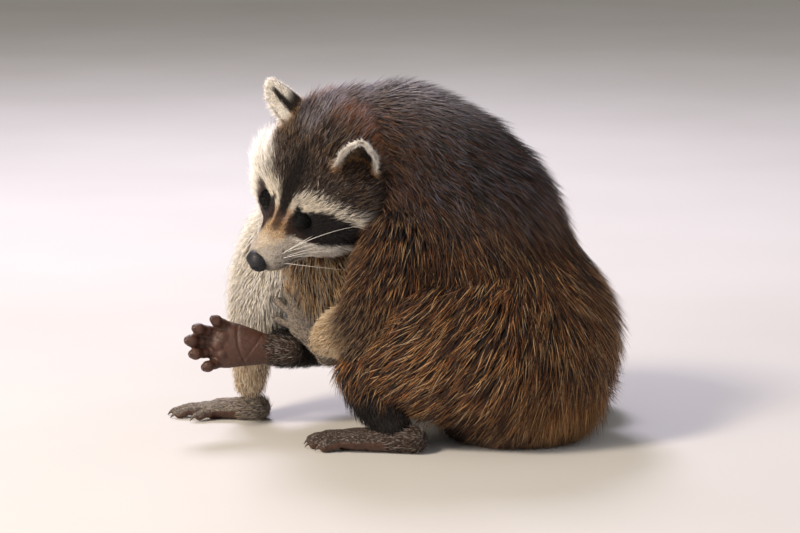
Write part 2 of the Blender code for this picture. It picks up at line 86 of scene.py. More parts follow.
# ---------------------------------------------------------------- colours
class Hue(Enum):
    """Colours of the coat and of the bare skin, as sRGB hex values."""

    BLACK = "#070506"
    SOOT = "#150f0d"
    DARK = "#24160f"
    BROWN = "#46291a"
    RUST = "#8c5229"
    GOLD = "#bf8b52"
    TAN = "#c9a577"
    SAND = "#d8c3a2"
    CREAM = "#efe4d2"
    WHITE = "#f4efe9"
    GREY = "#8e847e"
    ASH = "#b9b0aa"
    # LILAC and PLUM serve mostly for painted sheen on the back, the crown's edge and the mask
    LILAC = "#aaa2b2"
    FAWN = "#86786a"
    PLUM = "#5a484b"
    SOLE = "#4e3125"
    PINK = "#6e5148"


def linear(code: str) -> Array:
    """Linear red, green and blue of an sRGB hex value."""
    srgb = np.array([int(code[i : i + 2], 16) for i in (1, 3, 5)]) / 255
    return np.where(srgb > 0.04045, ((srgb + 0.055) / 1.055) ** 2.4, srgb / 12.92)


RGB = {hue: linear(hue.value) for hue in Hue}


class Mix(Enum):
    """Mixtures of hairs: percent, root, middle and tip of each kind, in the words of Hue."""

    GUARD = "40 soot dark brown, 40 black soot soot, 20 soot brown rust"
    BRIGHT = "40 dark rust gold, 25 dark gold tan, 15 dark tan sand, 20 soot brown rust"
    # black saddle hair, its grey and lilac tips painted sheen
    SADDLE = "40 black soot soot, 22 soot soot grey, 20 soot soot lilac, 18 soot brown rust"
    NAPE = "42 dark brown rust, 16 dark rust gold, 30 soot soot dark, 12 soot dark lilac"
    # painted sheen: lilac, grey and white tips for the top outline of neck and back
    FROST = "45 grey lilac white, 30 soot grey ash, 25 soot soot dark"
    BELLY = "45 fawn tan sand, 35 brown fawn cream, 20 dark rust tan"
    FRONT = "75 cream white white, 25 cream cream white"
    SHIN = "60 dark brown tan, 40 soot dark brown"
    SOCK = "100 soot soot dark"
    EDGE = "60 rust gold tan, 40 brown rust gold"
    WRIST = "60 tan sand cream, 40 brown tan sand"
    TAIL = "60 brown tan sand, 40 dark rust gold"
    RING = "100 black black soot"
    CROWN = "20 soot brown ash, 18 soot brown tan, 37 soot dark brown, 25 black soot dark"
    POLL = "45 dark rust rust, 20 dark brown gold, 20 soot dark brown, 15 dark grey ash"
    WHITE = "70 cream white white, 30 sand cream white"
    CREAM = "55 cream cream white, 45 sand cream cream"
    BLACK = "100 black black black"
    DARK = "80 soot soot soot, 20 soot dark brown"
    GRIZZLED = "55 soot soot dark, 25 soot brown brown, 20 soot dark ash"
    TAWNY = "50 rust gold gold, 30 brown rust gold, 20 brown tan sand"
    GOLDEN = "40 gold tan sand, 40 tan sand cream, 20 brown rust gold"
    PALE = "40 grey ash white, 35 fawn sand cream, 25 grey ash ash"
    THROAT = "50 brown tan sand, 50 rust gold cream"
    RUFF = "60 brown grey ash, 40 dark brown tan"
    # painted sheen: lilac, grey and white tips for the crown's top edge
    RIME = "40 dark lilac ash, 25 dark grey white, 35 soot dark brown"
    # painted sheen on the black mask
    DUSKY = "50 soot plum plum, 30 soot soot soot, 20 soot plum grey"
    RUDDY = "35 soot brown rust, 65 soot dark brown"
    EAR = "75 soot soot dark, 25 soot dark brown"
    HOLLOW = "85 black black soot, 15 soot dark brown"
    FLUFF = "35 brown tan sand, 35 dark fawn tan, 30 soot dark brown"
    HAND = "40 soot grey ash, 35 dark fawn sand, 25 soot dark grey"
    FOOT = "15 soot grey ash, 35 dark brown fawn, 50 soot dark brown"
    # painted shade between the digits: near-black hair for their facing sides
    TOES = "100 black soot soot"

    def drawn(self, rng: np.random.Generator, count: int) -> Array:
        """Linear colours (3, count, 3) at root, middle and tip of hairs drawn from the mixture."""
        rows = [kind.split() for kind in self.value.split(",")]
        shares = np.array([int(row[0]) / 100 for row in rows])
        kinds = rng.choice(len(rows), count, p=shares / shares.sum())
        table = np.array([[RGB[Hue[word.upper()]] for word in row[1:]] for row in rows])
        return table[kinds].transpose(1, 0, 2)


@dataclass
class Dye:
    """Colours of hairs, laid on in layers.

    Attributes:
        rng: draws each hair's kind.
        count: how many hairs.
        first: the mixture under all others.
    """

    rng: np.random.Generator
    count: int
    first: Mix

    def __post_init__(self) -> None:
        """Draws the first layer."""
        self.hues = self.first.drawn(self.rng, self.count)

    def lay(self, mix: Mix, share: Array) -> None:
        """Lays a mixture over what is there, by a share for each hair."""
        self.hues = blend(self.hues, mix.drawn(self.rng, self.count), share)


# ---------------------------------------------------------------- arithmetic on arrays
def unit(vectors: Array) -> Array:
    """The vectors scaled to length 1."""
    vectors = np.asarray(vectors, float)
    return vectors / np.maximum(np.linalg.norm(vectors, axis=-1, keepdims=True), 1e-12)


def dot(a: Array, b: Array) -> Array:
    """Row by row dot product, kept as a column."""
    return (a * b).sum(axis=-1, keepdims=True)


def ease(value: Array, low: float, high: float) -> Array:
    """0 below low, 1 above high and s*s*(3 - 2s) between; falls instead where high is under low."""
    share = np.clip((np.asarray(value, float) - low) / (high - low), 0, 1)
    return share * share * (3 - 2 * share)


def bell(value: Array, width: float) -> Array:
    """exp(-(value / width) squared)."""
    return np.exp(-((np.asarray(value, float) / width) ** 2))


def blend(under: Array, over: Array, share: Array) -> Array:
    """under where share is 0, over where it is 1."""
    return under + (over - under) * np.asarray(share, float)[..., None]


def ripple(places: Array, size: float, seed: int) -> Array:
    """Smooth noise of about -1 to 1: five sine waves in set directions, about size long, added up."""
    rng = np.random.default_rng(seed)
    ways = unit(rng.normal(size=(5, 3))) * rng.uniform(0.7, 1.5, (5, 1)) * (2 * math.pi / size)
    return np.sin(places @ ways.T + rng.uniform(0, 6.28, 5)).sum(axis=-1) / 2.6


def through(rows: Array, count: int) -> Array:
    """count rows on a Catmull-Rom curve through the given rows of numbers."""
    p = np.asarray(rows, float)
    p = np.vstack([2 * p[0] - p[1], p, 2 * p[-1] - p[-2]])
    t = np.linspace(0, len(p) - 3 - 1e-9, count)
    i = t.astype(int)
    t = (t - i)[:, None]
    a, b, c, d = p[i], p[i + 1], p[i + 2], p[i + 3]
    return 0.5 * (2 * b + (c - a) * t + (2 * a - 5 * b + 4 * c - d) * t**2 + (3 * b - a - 3 * c + d) * t**3)


# ---------------------------------------------------------------- surfaces
@dataclass
class Surface:
    """A closed triangle surface as arrays.

    Attributes:
        points: places, one row for each corner.
        tris: three corner numbers for each triangle, counter-clockwise from outside.
    """

    points: Array
    tris: Array

    def moved(self, matrix: Matrix) -> "Surface":
        """The surface taken through a 4x4 matrix."""
        m = np.array(matrix)
        return Surface(self.points @ m[:3, :3].T + m[:3, 3], self.tris)

    def on_floor(self) -> "Surface":
        """The surface with no corner lower than the floor's gap."""
        self.points[:, 2] = np.maximum(self.points[:, 2], FLOOR_GAP)
        return self

    def normals(self) -> Array:
        """Corner normals: the area-weighted mean of the triangles round each corner."""
        a, b, c = (self.points[self.tris[:, k]] for k in range(3))
        flat = np.cross(b - a, c - a)
        out = np.zeros_like(self.points)
        for axis in range(3):
            for k in range(3):
                out[:, axis] += np.bincount(self.tris[:, k], flat[:, axis], len(self.points))
        return unit(out)

    def mesh(self, name: str, **attributes: Array) -> bpy.types.Mesh:
        """A smooth-shaded Blender mesh, with a number or a linear colour for each corner by attribute name."""
        mesh = bpy.data.meshes.new(name)
        mesh.vertices.add(len(self.points))
        mesh.vertices.foreach_set("co", self.points.astype(np.float32).ravel())
        mesh.loops.add(self.tris.size)
        mesh.loops.foreach_set("vertex_index", self.tris.astype(np.int32).ravel())
        mesh.polygons.add(len(self.tris))
        mesh.polygons.foreach_set("loop_start", np.arange(0, self.tris.size, 3, dtype=np.int32))
        mesh.update(calc_edges=True)
        mesh.shade_smooth()
        for key, values in attributes.items():
            kind, target = "FLOAT", "value"
            if values.ndim == 2:
                kind, target = "FLOAT_COLOR", "color"
                values = np.column_stack([np.clip(values, 0, 1), np.ones(len(values))])
            mesh.attributes.new(key, kind, "POINT").data.foreach_set(target, values.astype(np.float32).ravel())
        return mesh


def joined(surfaces: list[Surface]) -> Surface:
    """All the surfaces as the loose shells of one."""
    starts = np.cumsum([0] + [len(s.points) for s in surfaces[:-1]])
    return Surface(
        np.concatenate([s.points for s in surfaces]),
        np.concatenate([s.tris + k for s, k in zip(surfaces, starts)]),
    )


def shell(rings: Array, start: Array, end: Array) -> Surface:
    """Closed surface of rings of points with a fan to a pole at each end.

    Args:
        rings: places (rings, sides, 3); looked at from the end, each ring turns counter-clockwise.
        start: the pole before the first ring.
        end: the pole after the last ring.

    Returns:
        The closed surface, turned outwards by the sign of its volume.
    """
    n, m = rings.shape[:2]
    i, j = np.meshgrid(np.arange(n - 1), np.arange(m), indexing="ij")
    k = (j + 1) % m
    a, b, c, d = i * m + j, i * m + k, (i + 1) * m + k, (i + 1) * m + j
    walls = np.concatenate([np.stack([a, b, c], -1).reshape(-1, 3), np.stack([a, c, d], -1).reshape(-1, 3)])
    j = np.arange(m)
    k = (j + 1) % m
    caps = np.concatenate(
        [np.stack([0 * j + n * m, k, j], -1), np.stack([0 * j + n * m + 1, (n - 1) * m + j, (n - 1) * m + k], -1)]
    )
    points = np.concatenate([rings.reshape(-1, 3), [start], [end]])
    tris = np.concatenate([walls, caps])
    a, b, c = (points[tris[:, k]] for k in range(3))
    inside_out = np.einsum("ij,ij->i", a, np.cross(b, c)).sum() < 0
    return Surface(points, tris[:, ::-1] if inside_out else tris)


def tube(stations: Array, side: Array, rings: int = 40, sides: int = 32) -> Surface:
    """Tube with round ends through stations of (x, y, z, half width along side, half depth).

    A ring's places are centre + cos(a) * width * across + sin(a) * depth * up, and the ends add rings at
    -sin(b) * r along the path, cos(b) times as wide, with r the smaller half size there.
    """
    rows = through(stations, rings)
    along, across, up = carried_frames(rows[:, :3], side)
    dome = np.radians([75, 55, 35, 17])
    first, last = rows[0, 3:].min(), rows[-1, 3:].min()
    index = np.concatenate([np.zeros(4, int), np.arange(rings), np.full(4, rings - 1)])
    shift = np.concatenate([-first * np.sin(dome), np.zeros(rings), last * np.sin(dome[::-1])])
    scale = np.concatenate([np.cos(dome), np.ones(rings), np.cos(dome[::-1])])
    turn = np.linspace(0, 2 * math.pi, sides, endpoint=False)
    centre = rows[index, :3] + along[index] * shift[:, None]
    wide = across[index] * (rows[index, 3] * scale)[:, None]
    deep = up[index] * (rows[index, 4] * scale)[:, None]
    places = centre[:, None] + np.cos(turn)[None, :, None] * wide[:, None]
    places = places + np.sin(turn)[None, :, None] * deep[:, None]
    return shell(places, rows[0, :3] - along[0] * first, rows[-1, :3] + along[-1] * last)


def carried_frames(centres: Array, side: Array) -> tuple[Array, Array, Array]:
    """Directions along a path, across it towards side, and square to both."""
    along = unit(np.gradient(centres, axis=0))
    side = np.asarray(side, float)
    across = unit(side - (along @ side)[:, None] * along)
    return along, across, np.cross(along, across)


def ball_ways(rings: int, sides: int) -> Array:
    """Directions (cos b, sin b cos a, sin b sin a) of the corners of a ball's rings."""
    b = np.linspace(0, math.pi, rings + 2)[1:-1, None]
    a = np.linspace(0, 2 * math.pi, sides, endpoint=False)[None, :]
    return np.stack([np.cos(b) + 0 * a, np.sin(b) * np.cos(a), np.sin(b) * np.sin(a)], -1)


def ball(centre: Array, radii: Array, rings: int = 16, sides: int = 24) -> Surface:
    """Ellipsoid, with its poles along x."""
    radii, centre = np.asarray(radii, float), np.asarray(centre, float)
    ahead = np.array([radii[0], 0, 0])
    return shell(centre + ball_ways(rings, sides) * radii, centre + ahead, centre - ahead)


def melted(surfaces: list[Surface], voxel: float, smoothing: int) -> Surface:
    """Overlapping closed surfaces made one skin by a voxel remesh, and smoothed."""
    holder = bpy.data.objects.new("holder", joined(surfaces).mesh("holder"))
    bpy.context.scene.collection.objects.link(holder)
    remesh = holder.modifiers.new("remesh", "REMESH")
    remesh.mode, remesh.voxel_size = "VOXEL", voxel
    smooth = holder.modifiers.new("smooth", "SMOOTH")
    smooth.factor, smooth.iterations = 0.5, smoothing
    holder.modifiers.new("triangles", "TRIANGULATE")
    bpy.context.view_layer.update()
    found = holder.evaluated_get(bpy.context.evaluated_depsgraph_get()).to_mesh()
    points = np.empty(len(found.vertices) * 3, np.float32)
    found.vertices.foreach_get("co", points)
    tris = np.empty(len(found.polygons) * 3, np.int32)
    found.polygons.foreach_get("vertices", tris)
    mesh = holder.data
    bpy.data.objects.remove(holder)
    bpy.data.meshes.remove(mesh)
    return Surface(points.reshape(-1, 3).astype(float), tris.reshape(-1, 3))


# ---------------------------------------------------------------- places
def body_way(forward: float, left: float, up: float) -> Array:
    """World direction of a direction in the animal's frame: forward, to its left, up."""
    c, s = math.cos(BODY_YAW), math.sin(BODY_YAW)
    return np.array([-c * forward - s * left, s * forward - c * left, up])


def turned_frame(origin: Array, ahead: Array, above: Array) -> Matrix:
    """Matrix from centimetres with x ahead and z above into the world."""
    x = Vector(ahead).normalized()
    z = Vector(above)
    z = (z - x * z.dot(x)).normalized()
    turn = Matrix((x, z.cross(x), z)).transposed().to_4x4()
    return Matrix.Translation(origin) @ turn @ Matrix.Scale(CM, 4)


HEAD_CENTRE = np.array([-0.071, -0.010, 0.2345])
HEAD_FORWARD, HEAD_LEFT = Vector((-0.680, -0.438, -0.583)), Vector((0.690, -0.646, -0.323))
NOSE_CENTRE, NOSE_RADII = np.array([9.05, 0.0, -2.60]), np.array([0.95, 1.15, 1.05])


@dataclass(frozen=True)
class Place:
    """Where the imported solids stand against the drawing's own origin.

    Attributes:
        shift: the move, level with the floor, from the drawing to the frame.
    """

    shift: Array

    @classmethod
    def from_frame(cls) -> "Place":
        """Reads the shift from the middle of the nose's box."""
        low, high = (np.array(corner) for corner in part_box("nose"))
        drawn = np.array(cls(np.zeros(3)).head() @ Vector(NOSE_CENTRE))
        return cls(((low + high) / 2 - drawn) * (1, 1, 0))

    def body(self, forward: float, left: float, up: float) -> Array:
        """World place of a place in the animal's frame."""
        return body_way(forward, left, up) + (0, BODY_SHIFT, 0) + self.shift

    def head(self) -> Matrix:
        """Matrix from head centimetres, x to the nose, y to its left and z to the crown, to the world."""
        crown = HEAD_FORWARD.cross(HEAD_LEFT)
        return turned_frame(Vector(HEAD_CENTRE + self.shift), HEAD_FORWARD, crown)


def seen_from(matrix: Matrix, places: Array) -> Array:
    """World places in the coordinates of a frame."""
    m = np.array(matrix.inverted())
    return places @ m[:3, :3].T + m[:3, 3]


def sent_out(matrix: Matrix, ways: Array) -> Array:
    """Directions in a frame as unit directions in the world."""
    return unit(ways @ np.array(matrix)[:3, :3].T)


# ---------------------------------------------------------------- the body's forms
@dataclass
class Form:
    """One rounded form of the body: a tube of oval rings along a bent path.

    Attributes:
        name: what the form is.
        stations: (forward, left, up, half width, half depth) of the outside of the coat, in the animal's frame.
        depth: thickness of the coat at the first and the last station.
        lie: 1 where the hair runs from the first station to the last, -1 the other way.
        side: direction of the half width, in the animal's frame.
        samples: how finely the path is read.
    """

    name: str
    stations: Array
    depth: Array
    lie: int = 1
    side: tuple[float, float, float] = (0, 1, 0)
    samples: int = 48

    def settle(self, place: Place) -> None:
        """Works out the skin's stations in the world."""
        drawn = np.array([[*place.body(f, s, u), w, d] for f, s, u, w, d in self.stations])
        drawn[:, 3:] -= np.linspace(*self.depth, len(drawn))[:, None]
        self.rows = through(drawn, self.samples)
        self.drawn = drawn
        self.along, self.across, self.up = carried_frames(self.rows[:, :3], body_way(*self.side))

    def surface(self) -> Surface:
        """The form's skin."""
        return tube(self.drawn, body_way(*self.side))

    def find(self, places: Array) -> tuple[Array, Array, Array]:
        """Where places lie on the form.

        Args:
            places: world places.

        Returns:
            Share of the way along, turn about the path, and distance from it where 1 is the skin.
        """
        centres = self.rows[:, :3]
        far = (places**2).sum(1)[:, None] - 2 * places @ centres.T + (centres**2).sum(1)
        near = far.argmin(axis=1)
        out = places - centres[near]
        wide, deep = self.rows[near, 3], self.rows[near, 4]
        s = (out * self.across[near]).sum(1) / wide
        u = (out * self.up[near]).sum(1) / deep
        a = (out * self.along[near]).sum(1) / np.minimum(wide, deep)
        ends = (near == 0) | (near == self.samples - 1)
        return near / (self.samples - 1), np.arctan2(u, s), np.sqrt(s**2 + u**2 + np.where(ends, a, 0) ** 2)

    def way(self, share: Array) -> Array:
        """World direction of the lie of the hair at shares of the way along."""
        return self.lie * self.along[np.rint(share * (self.samples - 1)).astype(int)]


def form(name: str, depth: tuple[float, float], *stations: tuple[float, ...], **settings: object) -> Form:
    """A form whose stations and depth are given in millimetres."""
    return Form(name, np.array(stations) / 1000, np.array(depth) / 1000, **settings)


def body_forms() -> list[Form]:
    """The forms of trunk, neck, chest, tail and legs."""
    up = (0, 0, 1)
    trunk = (
        (-113, 0, 60, 96, 88),
        (-111, 0, 94, 106, 94),
        (-87, 0, 146, 101, 84),
        (-58, 0, 192, 94, 91),
        (-18, 0, 222, 84, 86),
    )
    neck = ((-36, 0, 222, 80, 82), (4, 4, 244, 74, 76), (36, 20, 250, 64, 66))
    chest = ((60, 10, 200, 50, 46), (68, 6, 165, 54, 46), (34, 0, 122, 62, 56), (-30, 0, 82, 76, 66))
    tail = (
        (-115, -20, 62, 34, 34),
        (-142, -68, 36, 34, 34),
        (-128, -120, 32.5, 36, 36),
        (-78, -158, 32.5, 36, 36),
        (-10, -172, 30.5, 34, 34),
        (52, -168, 24, 25, 26),
    )
    foreleg_left = (
        (-36, 62, 185, 42, 50),
        (-20, 84, 150, 34, 40),
        (-4, 102, 114, 28, 31),
        (30, 76, 97, 23, 25),
        (58, 45, 82, 16, 17),
    )
    foreleg_right = (
        (5, -48, 200, 42, 48),
        (60, -34, 192, 41, 43),
        (108, -7, 171, 38, 39),
        (129, 10, 131, 33, 33),
        (136, 18, 85, 25, 26),
        (138, 24, 32, 15.5, 16.5),
    )
    thigh_left = ((-110, 60, 100, 62, 78), (-60, 78, 90, 50, 70), (-15, 90, 74, 36, 48))
    shank_left = ((-5, 94, 70, 34, 36), (-12, 98, 46, 26, 28), (-30, 102, 24, 18, 19))
    thigh_right = ((-105, -58, 95, 60, 75), (-30, -86, 96, 50, 58), (42, -82, 88, 38, 42))
    shank_right = ((48, -72, 84, 36, 37), (78, -14, 72, 27, 28), (99, 44, 71, 19, 20))
    return [
        form("trunk", (13, 13), *trunk, lie=-1),
        form("neck", (13, 11), *neck, lie=-1),
        form("chest", (12, 12), *chest),
        form("tail", (14, 15), *tail, side=up),
        form("foreleg_left", (11, 3.5), *foreleg_left),
        form("foreleg_right", (11, 3), *foreleg_right),
        form("thigh_left", (12, 9), *thigh_left),
        form("shank_left", (9, 3), *shank_left),
        form("thigh_right", (12, 8), *thigh_right),
        form("shank_right", (8, 3), *shank_right, side=up),
    ]


@dataclass
class Growth:
    """How the coat grows at a set of places: one row, or one value, for each.

    Attributes:
        lie: direction in which the hair lies.
        lift: angle in radians that it stands off the skin.
        length: length in metres.
        width: width in metres.
        hues: linear colours (3, count, 3) at root, middle and tip.
        unwrap: place (count, 2) on an unwrap of the skin's shape, from 0 to 1.
    """

    lie: Array
    lift: Array
    length: Array
    width: Array
    hues: Array
    unwrap: Array


@dataclass
class Body:
    """Trunk, neck, tail and legs.

    Attributes:
        place: where the animal stands.
        voxel: grain of the skin.
        blending: how far, in shares of its radius, a form still rules the hair beside it.
    """

    place: Place
    voxel: float = 0.0032
    blending: float = 0.22
    forms: list[Form] = field(default_factory=body_forms)

    def __post_init__(self) -> None:
        """Settles the forms in the world."""
        for form in self.forms:
            form.settle(self.place)

    def skin(self) -> Surface:
        """The forms melted together, no lower than the floor."""
        return melted([form.surface() for form in self.forms], self.voxel, 9).on_floor()

    def shares(self, places: Array) -> tuple[dict[str, Array], dict[str, Array], dict[str, Array]]:
        """How far each form rules the hair at places: {form: weight}, {form: share along}, {form: turn}."""
        weights, along, turns = {}, {}, {}
        for form in self.forms:
            along[form.name], turns[form.name], far = form.find(places)
            weights[form.name] = bell(np.maximum(far - 1, 0), self.blending) + 1e-9
        total = sum(weights.values())
        return {name: weight / total for name, weight in weights.items()}, along, turns

    def hues(self, places: Array, rng: np.random.Generator) -> Array:
        """Colours of hairs rooted at world places: dark brown with golden tips, cream in front, ringed tail, and
        painted sheen in grey, lilac and white tips along the top of back and neck.
        """
        share, along, _ = self.shares(places)
        forward, left, up = self.animal_frame(places)
        coat = Dye(rng, len(places), Mix.GUARD)
        patch = 0.18 * ripple(places, 0.05, 3)
        locks = ease(ripple(places, 0.012, 4) + 0.9 * rng.normal(size=len(places)), 0.1, 0.6)
        low_back = ease(up, 0.20, 0.12) * ease(up, 0.025, 0.06)
        coat.lay(Mix.BRIGHT, locks * (0.55 + 0.45 * low_back))
        # top of the back: black saddle hair, with painted sheen in its grey and lilac tips
        top = ease(up + 0.02 * patch, 0.185, 0.250) * ease(share["trunk"] + share["neck"], 0.3, 0.7)
        coat.lay(Mix.SADDLE, top * ease(forward, 0.03, -0.04))
        coat.lay(Mix.NAPE, share["neck"] * ease(forward, -0.05, 0.0))
        # painted sheen along the top outline of neck and back
        ridge = share["neck"] * ease(up, 0.285, 0.312) + 0.6 * share["trunk"] * ease(up, 0.265, 0.300)
        coat.lay(Mix.FROST, ridge)
        coat.lay(Mix.BELLY, ease(share["chest"], 0.35, 0.75))
        coat.lay(Mix.EDGE, 0.6 * ease(forward, -0.14, -0.17) * ease(up, 0.08, 0.05))
        for side in ("left", "right"):
            leg, t = share[f"foreleg_{side}"], along[f"foreleg_{side}"]
            coat.lay(Mix.SHIN, ease(leg, 0.3, 0.7) * ease(t, 0.25, 0.5) * (side == "left"))
            shank, t = share[f"shank_{side}"], along[f"shank_{side}"]
            coat.lay(Mix.SOCK, ease(shank, 0.35, 0.7) * ease(t, 0.1, 0.5))
        collar = share["chest"] * ease(left, 0.02, -0.02) * ease(up, 0.13, 0.17)
        pale = ease(share["foreleg_right"] + collar, 0.25, 0.5)
        coat.lay(Mix.FRONT, pale * ease(forward + patch * 0.03, 0.01, 0.055))
        for side, start, end, most in (("right", 0.70, 0.95, 0.85), ("left", 0.50, 0.70, 1.0)):
            leg, t = share[f"foreleg_{side}"], along[f"foreleg_{side}"]
            coat.lay(Mix.WRIST, most * (ease(leg, 0.3, 0.6) * ease(t, start, end)))
        ringed = ease(share["tail"], 0.35, 0.65) * ease(along["tail"], 0.13, 0.22)
        return blend(coat.hues, self.tail_hues(along["tail"], rng), ringed)

    def tail_hues(self, along: Array, rng: np.random.Generator) -> Array:
        """The tail's colours: five dark rings, narrower than the pale ones between, and a dark tip."""
        phase = (np.clip(along, 0, 1) * 6.2 + 0.12 * rng.normal(size=len(along))) % 1.0
        ring = ease(phase, 0.52, 0.60) * ease(phase, 1.0, 0.93)
        tail = Dye(rng, len(along), Mix.TAIL)
        tail.lay(Mix.RING, np.maximum(ring, ease(along, 0.90, 0.93)))
        return tail.hues

    def animal_frame(self, places: Array) -> tuple[Array, Array, Array]:
        """World places as distances forward, to the animal's left, and up."""
        out = places - self.place.shift - (0, BODY_SHIFT, 0)
        return out @ body_way(1, 0, 0), out @ body_way(0, 1, 0), out[:, 2]

    def find_inside(self, places: Array) -> Array:
        """True where world places lie well under the body's skin."""
        inside = np.zeros(len(places), bool)
        for form in self.forms:
            inside |= form.find(places)[2] < 0.90
        return inside

    def growth(self, places: Array, normals: Array, rng: np.random.Generator) -> Growth:
        """The coat of the body: longest on back, rump and tail, short on the legs, sinking with its weight."""
        count = len(places)
        share, along, turns = self.shares(places)
        lie, length, lift = np.zeros((count, 3)), np.zeros(count), np.zeros(count)
        for form in self.forms:
            first, last = HAIR_LENGTHS[form.name.split("_")[0]]
            weight, t = share[form.name], along[form.name]
            lie += weight[:, None] * form.way(t)
            length += weight * (first + (last - first) * t) * MM
            depth = form.depth[0] + (form.depth[1] - form.depth[0]) * t
            stand = 1.25 if form.name == "tail" else 1.0
            lift += weight * np.clip(stand * depth / ((first + (last - first) * t) * MM), 0.1, 0.75)
        fluffy = share["foreleg_right"] * ease(self.animal_frame(places)[0], 0.03, 0.07)
        lift, length = lift * (1 + 0.3 * fluffy), length * (1 + 0.12 * fluffy)
        pit = self.place.body(0.085, 0.028, 0.125)
        tucked = bell(np.linalg.norm(places - pit, axis=1), 0.040) * (share["foreleg_left"] < 0.3)
        lift, length = lift + 0.30 * tucked, length + 0.012 * tucked
        lie = unit(lie) + np.array([0, 0, -0.35])
        lie += 0.16 * np.stack([ripple(places, 0.035, seed) for seed in (11, 12, 13)], axis=1)
        under = rng.random(count) < 0.36
        scatter = rng.normal(size=(count, 3)) * np.where(under, 0.10, 0.15)[:, None]
        hues = self.hues(places, rng)
        hues[1:, under] = 0.6 * hues[0, under] + 0.4 * hues[1:, under]
        fine = ease(length, 0.010, 0.030)
        width = np.where(under, 0.0009 + 0.0013 * fine, 0.0005 + 0.00036 * fine)
        length = length * np.where(under, 0.62, 1.0) * rng.uniform(0.75, 1.12, count)
        rows = len(self.forms)
        best = np.argmax([share[form.name] for form in self.forms], axis=0)
        t = np.choose(best, [along[form.name] for form in self.forms])
        turn = np.choose(best, [turns[form.name] for form in self.forms])
        unwrap = np.stack([t, (best + 0.5 + turn / (2 * math.pi) * 0.94) / rows], axis=1)
        return Growth(lie + scatter, lift * rng.uniform(0.7, 1.25, count), length, width, hues, unwrap)


